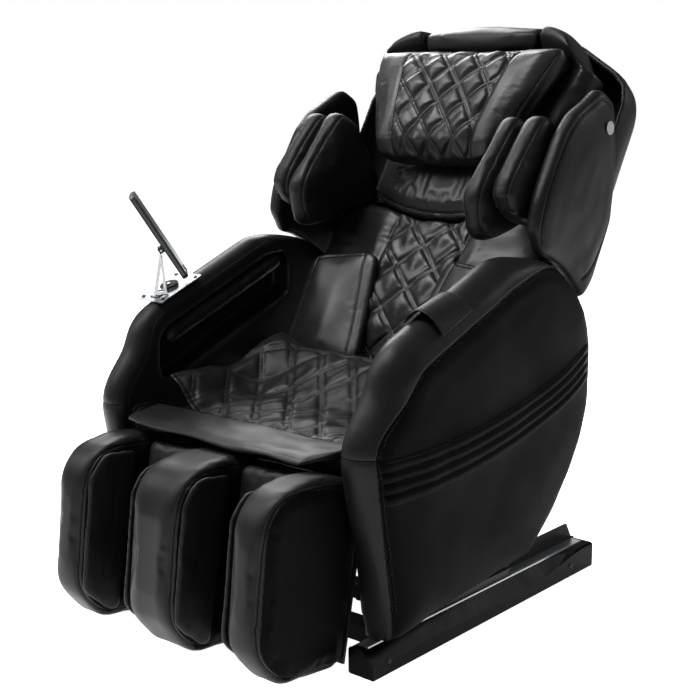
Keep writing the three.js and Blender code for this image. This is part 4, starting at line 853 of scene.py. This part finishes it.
def sew_shell(skin):
    z = np.linspace(-20, 800, 260)
    half = np.where(z < 236, 240, 240 + (340 - 240) * ramp(z, 236, 372)) - 70 * ramp(z, 728, 830)
    for sign in (1, -1):
        seam = row(sign * (half - 26), 150, z)
        skin.refine(skin.near(seam, 14)[0] < 14)
        skin.seam(seam, dip=1.8, width=4.0, puff=0.6, pucker=0.3, stitched=(4.0,))
    skin.ripple(1.6, 120, (1, 1, 1.5), seed=50)
    x, _, z = skin.points().T
    skin.thin_out((skin.outward()[:, 1] < -0.3) & (np.abs(x) < 200) & (z < 700))
    skin.finish(fill=0.9)


# ------------------------------------------------------------------ arms
ARM_MIDDLE = np.array((-10, 385))
CROWN_MIDDLE, CROWN_RADIUS = np.array((112, 472)), 224
RIBS = 4


def bezier(a, b, c, d):
    t = np.linspace(0, 1, 30)[:, None]
    a, b, c, d = (np.array(v, float) for v in (a, b, c, d))
    return (1 - t) ** 3 * a + 3 * (1 - t) ** 2 * t * b + 3 * (1 - t) * t ** 2 * c + t ** 3 * d


def rib_band(y):
    """Top and depth of the ribbed band of the side panel."""
    t = np.clip((y + 346) / 646, 0, 1) ** 2.3
    return 406 + 104 * t, 82 - 4 * t


def rib_share(y, z):
    """0 at the top of the ribbed band, 1 at its foot."""
    top, depth = rib_band(y)
    return (top - z) / depth


def arm_side_view():
    """Outline of the arm at its crown seam, from the foot up the front, over the crown to the rear."""
    front = bezier((-318, 64), (-324, 190), (-350, 270), (-362, 392))
    knuckle = bezier((-362, 392), (-368, 440), (-322, 470), (-304, 500))
    rise = bezier((-304, 500), (-292, 530), (-290, 555), (-249, 572))
    turn = np.linspace(math.pi / 2 + ARM_SLOPE, math.radians(-5), 60)
    arc = CROWN_MIDDLE + CROWN_RADIUS * np.stack([np.cos(turn), np.sin(turn)], axis=1)
    end = arc[-1]
    tail = bezier(end, (end[0] + 6, end[1] - 115), (268, 205), (112, 106))
    return np.vstack([front, knuckle[1:], rise[1:], arc, tail[1:]])


def crown_seam_view():
    """Side view of the seam between crown and side panel, drawn in a little along the crown."""
    seam = arm_side_view()
    inset = 0.1 * ramp(seam[:, 1], 425, 560) * (1 - ramp(seam[:, 0], 60, 220))
    return seam + (ARM_MIDDLE - seam) * inset[:, None]


def enclosed(points, outline):
    """Which points of a flat view lie inside a closed outline."""
    inside = np.zeros(len(points), bool)
    for (x0, y0), (x1, y1) in zip(outline, np.roll(outline, -1, axis=0)):
        spans = (y0 > points[:, 1]) != (y1 > points[:, 1])
        at = x0 + (points[:, 1] - y0) * (x1 - x0) / (y1 - y0 if y1 != y0 else 1e-9)
        inside ^= spans & (points[:, 0] < at)
    return inside


def make_arm(side):
    skin = Skin("arm_shell", "carriage", voxel=5, smooth=4, side=side, cover="arm")
    seam = crown_seam_view()
    # The arm's outer side panel gets the darker copy of the leather: painted shade.
    skin.painted_shade_sides = lambda middle, out: (middle[:, 0] * skin.sign > 350) & enclosed(middle[:, 1:], seam)
    (x, y, z), (_, rearward, upward) = skin.points().T, skin.outward().T
    x = x * skin.sign
    outer = ramp(x, 350, 362)
    crown = ramp(upward, 0.2, 0.5) * ramp(z, 470, 500) * ramp(x, 292, 300)
    front = ramp(-rearward, 0.3, 0.6) * ramp(-y, 285, 300) * ramp(z, 190, 220)
    rear = ramp(rearward, 0.3, 0.6) * ramp(y, 150, 200)
    inner = (1 - ramp(x, 322, 334)) * ramp(z, 400, 430) * (1 - ramp(y, 40, 90))
    skin.polish(np.clip(outer + crown + front + rear + inner, 0, 1), 60)
    return skin


def raise_ribs(skin):
    x, y, z = skin.points().T
    share = rib_share(y, z)
    side_panel = ramp(skin.sign * x, 364, 370) * ramp(skin.sign * skin.outward()[:, 0], 0.3, 0.7)
    ends = ramp(y, -366, -352) * (1 - ramp(y, 270, 330))
    wave = np.abs(np.sin(RIBS * np.pi * np.clip(share, 0, 1))) ** 0.55
    skin.raise_by(side_panel * ends * np.where((share > 0) & (share < 1), 6.2 * wave - 1.5, 0))


def sew_arm(skin):
    sign = skin.sign
    x, y, z = skin.points().T
    share = rib_share(y, z)
    skin.refine((sign * x > 362) & (share > -0.15) & (share < 1.15))
    seam = crown_seam_view()
    crown = dense(row(sign * 367.0, seam[:, 0], seam[:, 1]))
    crown = crown[crown[:, 2] > 120]
    skin.refine(skin.near(crown, 13)[0] < 13)
    x = sign * skin.points()[:, 0]
    raise_ribs(skin)
    skin.seam(crown, dip=3.2, width=3.4, puff=1.4, pucker=0.25, soft=22, stitched=(4.2, -4.2))
    skin.seam(row(sign * np.linspace(296, 366, 60), -380, 408), aim=TOWARDS, dip=1.8, width=3.4, puff=0.6,
              pucker=0.3, stitched=(4.0,))
    y = np.linspace(-346, 312, 300)
    top, depth = rib_band(y)
    for z, beside in ((top, -4.0), (top - depth, 4.0)):
        spots, _ = skin.onto(row(sign * 380, y, z), aim=(-sign, 0, 0))
        skin.stitch(spots, beside)
    edge = arm_side_view()
    y, z = edge[(edge[:, 0] < 60) & (edge[:, 1] > 150)].T
    skin.seam(dense(row(sign * 294, y, z + 14 * ramp(z, 480, 560))), dip=1.6, width=3.4, puff=0.8, pucker=0.2,
              gap=False, stitched=(3.4, -3.4))
    skin.ripple(2.4, 130, (1, 1.3, 1), seed=60 + sign, where=ramp(x, 340, 370))
    skin.thin_out((sign * skin.outward()[:, 0] < -0.6) & (skin.points()[:, 2] < 330))
    skin.finish(fill=0.9)


def make_roll(side):
    return Skin("forearm_roll", "carriage", voxel=4, smooth=10, side=side,
                air=air(1.5, 0.01, 4, lambda p: ramp(np.abs(p[:, 0]), 306, 314)))


def sew_roll(skin):
    skin.ripple(1.6, 50, (1, 2, 1), seed=70 + skin.sign)
    skin.finish(fill=0.7)


def make_strap():
    return Skin("hand_strap", "carriage", voxel=2.2, smooth=6)


def sew_strap(skin):
    out = ramp(skin.points()[:, 0], 322, 358)
    skin.shift(15 * out, -5 * out, -9 * out ** 2)
    x = np.linspace(302, 368, 60)
    for share in (0.06, 0.94):
        spots, _ = skin.onto(row(x, -212 + 94 * share + (x - 290) * 0.35, 700), aim=DOWN)
        skin.stitch(spots, 0.0)
    skin.finish(fill=0.5)


# ------------------------------------------------------------------ seat
MAT_HALF = 222
MAT_FRONT, MAT_REAR = -284, 14
MAT_DIAMOND = (86, 98)


def make_seat():
    return Skin("seat_cushion", "carriage", voxel=6, smooth=14, shrink=1.5,
                air=air(2, 0.008, 6, lambda p: 1 - ramp(p[:, 2], 344, 356)))


def sew_seat(skin):
    skin.finer()
    skin.ripple(2.0, 70, seed=80)
    x, y, _ = skin.points().T
    skin.thin_out((skin.outward()[:, 2] < 0.3) | ((np.abs(x) < 215) & (y > -270)))
    skin.finish(fill=0.8)


def make_mat():
    return Skin("seat_mat", "carriage", voxel=3.5, smooth=10)


def sew_mat(skin):
    back = ramp(skin.points()[:, 1], -150, 16)
    skin.shift(0, 10 * back, 78 * back)
    (x, y, _), top = skin.points().T, ramp(skin.outward()[:, 2], 0.1, 0.5)
    inside = (top * ramp(MAT_HALF - np.abs(x), 0, 12) * ramp(y, MAT_FRONT, MAT_FRONT + 12)
              * ramp(MAT_REAR - y, 0, 12))
    quilt(skin, x, y, inside, 5, *MAT_DIAMOND)

    def lay(x, y):
        return row(x, y, 480), np.abs(x) < MAT_HALF
    quilt_lines(skin, DOWN, lay, 240, -282, 12, *MAT_DIAMOND)
    rim = curved([(-228, -288, 440), (0, -288, 410), (228, -288, 410), (232, -284, 410), (234, 0, 410),
                  (232, 16, 410), (0, 18, 410), (-228, 18, 430)])
    skin.seam(rim, aim=DOWN, dip=1.4, width=3.2, puff=0.8, pucker=0.8, stitched=(3.6,))
    skin.ripple(3.0, 60, seed=82, where=top)
    skin.thin_out(skin.outward()[:, 2] < -0.3)
    skin.finish(fill=0.4)


def make_flap():
    skin = Skin("front_flap", "carriage", voxel=2.6, smooth=6)
    start, end = out_of(CHAIR, [(0, -306, 396), (0, -388, 382)])
    skin.bends = ("carriage", "leg_lift", tuple(start), tuple(end))
    return skin


def sew_flap(skin):
    skin.ripple(3.4, 64, (1.8, 1, 1), seed=84)
    x, y, _ = skin.points().T
    skin.shift(0, 0, -4.5 * ramp(-y, 330, 392) * np.sin(x / 47 + 0.8) * np.cos(x / 83))
    for y in (-392, -386):
        spots, _ = skin.onto(row(np.linspace(-250, 236, 220), y, 420), aim=DOWN)
        skin.stitch(spots, 0.0)
    skin.finish(fill=0.2)


# ------------------------------------------------------------------ leg rest
FIN_SPANS = {"outer_left": (194, 280), "outer_right": (-280, -194), "middle": (-64, 64)}


def make_fin(side):
    skin = Skin("leg_fin", "leg_rest", voxel=5, smooth=10, side=side, shrink=0.5,
                air=air(1.6, 0.0, 3, backed(-50, -20), bend=8))
    skin.polish(ramp(-skin.outward()[:, 1], 0.3, 0.7), 40)
    x0, x1 = FIN_SPANS[side]
    # The fin's side faces get the darker copy of the leather: painted shade.
    skin.painted_shade_sides = lambda middle, out: (np.abs(out[:, 0]) > 0.6) & (
        (middle[:, 0] > x1 - 5.5) | (middle[:, 0] < x0 + 5.5))
    return skin


def fin_rim(x, inset=5.0):
    points = [(-40, -72), (0, -40), (100, -44), (160, -60), (190, -92), (205 - inset, -150),
              (200 - inset, -260), (188 - inset, -330 + inset), (150, -366 + inset), (100, -378 + inset),
              (20, -376 + inset), (-40, -368)]
    return curved([(x, -d, z) for d, z in points])


def sew_fin(skin):
    skin.finer()
    x0, x1 = FIN_SPANS[skin.node.removeprefix("leg_fin_")]
    skin.ripple(1.0, 150, (0.8, 1.0, 2.0), seed=90 + x0 / 100)
    for x, side in ((x0 + 5, 1), (x1 - 5, -1)):
        skin.seam(fin_rim(x), dip=2.4, width=4.2, puff=2.0, pucker=0.0, soft=30, stitched=(4.4 * side,))
    skin.finish(fill=0.8, rear=0.3)


def make_calf(side):
    return Skin("calf_pad", "leg_rest", voxel=5, smooth=14, side=side, shrink=1,
                air=air(2, 0.02, 6, backed(20, 50)))


def sew_calf(skin):
    skin.finer()
    skin.ripple(4.0, 34, (1, 1, 2.8), seed=96 + skin.sign, where=ramp(-skin.outward()[:, 1], 0.2, 0.7))
    skin.finish(fill=0.7, rear=0.1)


def make_cell(side):
    return Skin("calf_cell", "leg_rest", voxel=3, smooth=8, side=side)


def sew_cell(skin):
    skin.ripple(1.6, 30, (1, 1, 2), seed=99)
    skin.finish(fill=0.6)


def upholster():
    skins = [(make_pillow(), sew_pillow), (make_back_cushion(), sew_back_cushion),
             (make_neck_pad(), sew_neck_pad), (make_shell(), sew_shell), (make_strap(), sew_strap),
             (make_seat(), sew_seat), (make_mat(), sew_mat), (make_flap(), sew_flap)]
    for side in SIDES:
        skins += [(make_hip_pad(side), sew_hip_pad), (make_wing(side), sew_wing), (make_arm(side), sew_arm),
                  (make_roll(side), sew_roll), (make_calf(side), sew_calf)]
        skins += [(make_cell(part + side), sew_cell) for part in ("inner_", "outer_")]
    for side in SIDES:
        skins += [(make_shoulder_pad(part + side), sew_shoulder_pad) for part in ("inner_", "outer_")]
    skins += [(make_hood("hood_middle"), sew_hood)]
    skins += [(make_hood("hood_bolster", side), sew_hood) for side in SIDES]
    skins += [(make_fin(side), sew_fin) for side in FIN_SPANS]
    inflate([skin for skin, _ in skins])
    for skin, sew in skins:
        sew(skin)


upholster()


# ------------------------------------------------------------------ between seat and back
def tube(rings, count, closed=False):
    """Faces round rings of as many points each, joined back to the first ring or capped."""
    faces = []
    for ring in range(rings if closed else rings - 1):
        after = (ring + 1) % rings
        for k in range(count):
            turn = (k + 1) % count
            faces.append((ring * count + k, ring * count + turn, after * count + turn, after * count + k))
    if not closed:
        faces += [tuple(range(count))[::-1], tuple(range((rings - 1) * count, rings * count))]
    return faces


def shaped(name, finish, points, faces, smooth):
    """A new object from points of the chair's frame, its faces turned outwards."""
    mesh = bpy.data.meshes.new(name)
    mesh.from_pydata(out_of(CHAIR, points), [], faces)
    welded = bmesh.new()
    welded.from_mesh(mesh)
    bmesh.ops.remove_doubles(welded, verts=welded.verts, dist=WELD)
    bmesh.ops.recalc_face_normals(welded, faces=welded.faces)
    welded.to_mesh(mesh)
    welded.free()
    mesh.materials.append(finish)
    shade(mesh, smooth)
    return new_object(name, mesh)


def make_bridge():
    """Padded leather that joins the rear of the seat to the foot of the back."""
    half, low, high = 252, np.array((12.0, 408.0)), np.array((20.0, 482.0))
    middle, reach = (low + high) / 2, np.linalg.norm(high - low) / 2
    up = (high - low) / (2 * reach)
    out = np.array((-up[1], up[0]))
    columns, count = 121, 40
    points = []
    for across in np.linspace(-1, 1, columns):
        x = half * math.sin(math.pi / 2 * across)
        fill = max(0.06, (1 - (x / half) ** 8) ** 0.5)
        for turn in np.arange(count) * 2 * math.pi / count:
            a = np.sign(math.cos(turn)) * abs(math.cos(turn)) ** 0.8
            crease = 1.2 * noise.noise(Vector((x / 26, a * 1.4, 3.0)))
            spot = middle + up * a * reach * (0.75 + 0.25 * fill)
            points.append((x, *(spot + out * ((15 + crease) * fill * math.sin(turn)))))
    bridge = shaped("seat_back_bridge", LEATHER, points, tube(columns, count), smooth=True)
    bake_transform(bridge)


make_bridge()


# ------------------------------------------------------------------ small hardware
RIGHT = np.array((1.0, 0, 0))
UP_SLOPE = np.array((0, math.cos(ARM_SLOPE), math.sin(ARM_SLOPE)))
OFF_SLOPE = np.cross(RIGHT, UP_SLOPE)
SLOPE = (RIGHT, UP_SLOPE, OFF_SLOPE)
TABLET_ACROSS = np.array((-0.75, 0.661, 0)) / math.hypot(0.75, 0.661)
TABLET_UP = np.array((-0.348, -0.395, 0.849)) / math.hypot(0.348, 0.395, 0.849)
TABLET_OUT = np.cross(TABLET_ACROSS, TABLET_UP)
TABLET = (TABLET_ACROSS, TABLET_UP, TABLET_OUT)


def screw_tree():
    """Low countersunk heads with a hexagon socket, one on each point, standing along its normal."""
    tree, given = new_tree("screw_heads", ["Radius"])
    spots = add(tree, "GeometryNodeMeshToPoints", {"Mesh": given["Geometry"]})
    head = add(tree, "GeometryNodeMeshCone", {"Vertices": 20, "Radius Top": 0.78, "Radius Bottom": 1.0,
                                              "Depth": 0.45})
    socket = add(tree, "GeometryNodeMeshCylinder", {"Vertices": 6, "Radius": 0.4, "Depth": 0.5})
    raised = add(tree, "GeometryNodeTransform", {"Geometry": socket, "Translation": (0, 0, 0.42)})
    bored = add(tree, "GeometryNodeMeshBoolean", {0: head, 1: raised}, operation="DIFFERENCE")
    size = add(tree, "ShaderNodeCombineXYZ", {axis: given["Radius"] for axis in "XYZ"})
    sized = add(tree, "GeometryNodeTransform", {"Geometry": bored, "Scale": size})
    placed = add(tree, "GeometryNodeInstanceOnPoints", {
        "Points": spots, "Instance": sized, "Rotation": turned_to(tree, outward_of(tree))})
    return end_tree(tree, placed, given["Finish"])


SCREWS = screw_tree()


def screws(name, body, spots, normal, radius):
    heads = follow(name, CHAIR, [(spots, [normal] * len(spots))], SCREWS, {"Radius": radius * MM}, DARK_SCREW)
    shade(heads.data, False)
    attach(heads, body)


def solid(name, body, finish, slot, points, faces, smooth=False):
    """A hard piece on a body."""
    thing = shaped(name, finish, points, faces, smooth)
    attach(thing, body)


def slab(outline, origin, axes, low, high, window=None):
    """Points and faces of a plate cut to an outline, with a window of as many corners if given.
    axes are its two directions and the one from low to high."""
    loops = [(outline, low), (outline, high)]
    if window:
        loops += [(window, high), (window, low)]
    points = [origin + np.array((x, y, level)) @ axes for loop, level in loops for x, y in loop]
    return points, tube(len(loops), len(outline), closed=bool(window))


def rounded_rectangle(x0, x1, y0, y1, radius, steps=6):
    corners = [(x1 - radius, y1 - radius, 0), (x0 + radius, y1 - radius, 90), (x0 + radius, y0 + radius, 180),
               (x1 - radius, y0 + radius, 270)]
    return [(x + radius * math.cos(math.radians(start + 90 * k / steps)),
             y + radius * math.sin(math.radians(start + 90 * k / steps)))
            for x, y, start in corners for k in range(steps + 1)]


def spun(profile, origin, axes, steps=36):
    """Points and faces of a profile of radius and height, turned round the last of the axes."""
    points = [origin + np.array((radius * math.cos(turn), radius * math.sin(turn), height)) @ axes
              for radius, height in profile for turn in np.arange(steps) * 2 * math.pi / steps]
    return points, tube(len(profile), steps)


def node_points(name):
    return into(CHAIR, read(frame["nodes"][name].data.vertices, "co"))


def spans(points, axes):
    """Lowest and highest place of points along each axis."""
    along = points @ np.transpose(axes)
    return np.stack([along.min(axis=0), along.max(axis=0)], axis=1)


def plate_place():
    """Middle of the holder plate's underside, and half its width and length."""
    (x0, x1), (y0, y1), (foot, _) = spans(node_points("holder_plate"), SLOPE)
    return RIGHT * (x0 + x1) / 2 + UP_SLOPE * (y0 + y1) / 2 + OFF_SLOPE * foot, (x1 - x0) / 2, (y1 - y0) / 2


def make_arm_panel():
    foot, half_x, half_y = plate_place()
    top = foot + 2.5 * OFF_SLOPE
    spots = [top + x * (half_x - 9) * RIGHT + y * (half_y - 11) * UP_SLOPE for x in (1, -1) for y in (1, -1)]
    screws("holder_plate_screws", "carriage", spots, OFF_SLOPE, 4.6)
    washer = [(19.2, 3.6), (19.6, 4.0), (19.6, 6.0), (18.6, 6.5), (8.0, 6.7), (5.5, 6.4)]
    solid("swivel_washer", "stand", RUBBER, "rubber", *spun(washer, top, SLOPE), smooth=True)
    (left, right), (low, high), (_, face) = spans(node_points("panel"), TABLET)
    half, tall = (right - left) / 2, high - low
    origin = np.array(((left + right) / 2, low, face)) @ TABLET
    glass = rounded_rectangle(-half + 7, half - 7, 8, tall - 8, 5)
    solid("panel_screen", "panel", SCREEN_GLASS, "black_plastic", *slab(glass, origin, TABLET, -0.3, 0.7))
    trim = rounded_rectangle(-half - 1, half + 1, -1, tall + 1, 10)
    window = rounded_rectangle(-half + 0.6, half - 0.6, 0.6, tall - 0.6, 8.6)
    solid("panel_trim", "panel", TRIM_ALUMINIUM, "bright_steel",
          *slab(trim, origin, TABLET, -8.5, -3.5, window))
    button = [(6.5, 0.2), (6.5, 1.2), (5.6, 1.7), (2.0, 1.8)]
    solid("panel_button", "panel", DARK_SCREW, "black_plastic",
          *spun(button, origin + TABLET_UP * 15, TABLET, steps=24), smooth=True)


def make_stand_webs():
    """Folded sides of the stand's strut, each a triangle with a triangular window."""
    stand = node_points("panel_stand")
    foot = plate_place()[0] - 44 * UP_SLOPE + 5.8 * OFF_SLOPE
    tip = stand[stand[:, 2] > stand[:, 2].max() - 4].mean(axis=0) - np.array((0, 0, 4))
    reach = np.linalg.norm(tip - foot)
    up = (tip - foot) / reach
    out = np.cross(TABLET_ACROSS, up)
    out /= np.linalg.norm(out)
    across = np.cross(up, out)
    if out @ UP_SLOPE < 0:
        out = -out
    outline = [(1.5, 3), (27, 9), (23, 14), (5, reach - 14), (1.5, reach - 10)]
    window = [(5, 10), (19, 14), (16, 19), (6, reach - 34), (5, reach - 32)]
    for side, sign in SIDES.items():
        solid(f"panel_stand_web_{side}", "stand", BRIGHT_STEEL, "bright_steel",
              *slab(outline, foot + across * sign * 9, (out, up, across), -1, 1, window))


def make_base_screws():
    for side, sign in SIDES.items():
        outward = np.diag((sign, 1, 1))
        (_, face), (front, rear), (foot, _) = spans(node_points(f"base_rail_{side}"), outward)
        spots = [(sign * face, y, foot + 24) for y in (front + 45, rear - 90)]
        screws(f"base_rail_screws_{side}", "base", spots, (sign, 0, 0), 5.0)


make_arm_panel()
make_stand_webs()
make_base_screws()


# ------------------------------------------------------------------ bare frame parts
FINISHES = {
    GLOSS_STEEL: ["base_rail_left", "base_rail_right", "base_front_beam", "base_rear_beam"],
    FRAME_STEEL: ["carriage_frame", "back_frame", "leg_lift_frame", "mech_carriage", "knead_arm_left",
                  "knead_arm_right"],
    BRIGHT_STEEL: ["panel_stand", "slide_track_left", "slide_track_right", "wing_button"],
    PLATE_STEEL: ["holder_plate"],
    BLACK_PLASTIC: ["glide_shoe_left", "glide_shoe_right", "leg_rear_pan", "panel"],
    RUBBER: ["transport_wheel_left", "transport_wheel_right", "roller_lower_left", "roller_lower_right",
             "roller_upper_left", "roller_upper_right"],
}
for finish, names in FINISHES.items():
    for name in names:
        frame["nodes"][name].material_slots[0].material = finish

# ------------------------------------------------------------------ floor, light and camera
FLOOR_HALF = 9.0
LAMPS = {
    # name: (place, aimed at, width, height, watts)
    "overhead": ((-0.5, -0.9, 3.4), (0, 0, 0.6), 1.6, 1.3, 130),
    "front_left": ((-2.2, -2.1, 3.1), (0, -0.1, 0.6), 2.0, 1.7, 100),
    "right": ((3.4, -0.6, 2.4), (0, 0.1, 0.5), 1.0, 1.0, 3),
    "left": ((-3.6, -1.0, 1.5), (0, -0.2, 0.5), 1.6, 1.4, 11),
    "rear_left": ((-2.4, 1.9, 2.9), (0, 0, 0.6), 2.0, 1.6, 165),
    "rear": ((2.3, 2.9, 2.2), (0, 0.2, 0.8), 1.4, 1.0, 26),
}


def seen_by(tree, rays):
    """1 to the camera and to one more kind of ray, else 0."""
    ray = add(tree, "ShaderNodeLightPath").outputs
    return add(tree, "ShaderNodeMath", {0: ray["Is Camera Ray"], 1: ray[f"Is {rays} Ray"]},
               operation="MAXIMUM")


def make_floor():
    mesh = bpy.data.meshes.new("studio_floor")
    corners = [(FLOOR_HALF * x, FLOOR_HALF * y, 0) for x, y in ((-1, -1), (1, -1), (1, 1), (-1, 1))]
    mesh.from_pydata(corners, [], [(0, 1, 2, 3)])
    material, tree = new_material("white_paper_floor")
    paper = add(tree, "ShaderNodeBsdfDiffuse", {"Color": colour("#f4f4f4")})
    glow = add(tree, "ShaderNodeEmission", {"Color": (1, 1, 1, 1), "Strength": seen_by(tree, "Glossy")})
    both = add(tree, "ShaderNodeAddShader", {0: paper, 1: glow})
    add(tree, "ShaderNodeOutputMaterial", {"Surface": both})
    mesh.materials.append(material)
    new_object("studio_floor", mesh)


def make_world():
    world = bpy.data.worlds.new("studio")
    bpy.context.scene.world = world
    world.use_nodes = True
    tree = world.node_tree
    tree.nodes.clear()
    room = add(tree, "ShaderNodeBackground", {"Color": colour("#dfe3e8"), "Strength": 0.2})
    white = add(tree, "ShaderNodeBackground", {"Color": (1, 1, 1, 1), "Strength": 1})
    both = add(tree, "ShaderNodeMixShader", {"Fac": seen_by(tree, "Transmission"), 1: room, 2: white})
    add(tree, "ShaderNodeOutputWorld", {"Surface": both})


def make_lamps():
    for name, (place, target, width, height, watts) in LAMPS.items():
        lamp = bpy.data.lights.new(name, "AREA")
        lamp.shape = "RECTANGLE"
        lamp.size, lamp.size_y = width, height
        lamp.energy = watts
        thing = new_object(name, lamp)
        thing.location = place
        thing.rotation_euler = (Vector(target) - Vector(place)).to_track_quat("-Z", "Y").to_euler()


PHOTO_SIDE = 700                       # pixels
SENSOR = 36.0                          # millimetres
FOCAL_PIXELS = 1335.6
CAMERA_TURN = math.radians(40.75)      # from straight in front, towards the sitter's left
CAMERA_DROP = math.radians(11.57)      # looks down by this much
CAMERA_ROLL = math.radians(-0.51)
CAMERA_AT = Vector((1762.4, -2054.1, 1052.1))


def make_camera():
    turn, drop, roll = CAMERA_TURN, CAMERA_DROP, CAMERA_ROLL
    look = Vector((-math.sin(turn) * math.cos(drop), math.cos(turn) * math.cos(drop), -math.sin(drop)))
    level = Vector((math.cos(turn), math.sin(turn), 0))
    upright = level.cross(look)
    right = math.cos(roll) * level + math.sin(roll) * upright
    up = math.cos(roll) * upright - math.sin(roll) * level
    data = bpy.data.cameras.new("photo_camera")
    data.sensor_width = SENSOR
    data.lens = SENSOR * FOCAL_PIXELS / PHOTO_SIDE
    camera = new_object("photo_camera", data)
    turned = Matrix((right, up, -look)).transposed().to_4x4()
    camera.matrix_world = Matrix.Translation((CHAIR @ CAMERA_AT) * MM) @ turned
    bpy.context.scene.camera = camera


make_floor()
make_world()
make_lamps()
make_camera()
bpy.context.scene.view_settings.view_transform = "Standard"
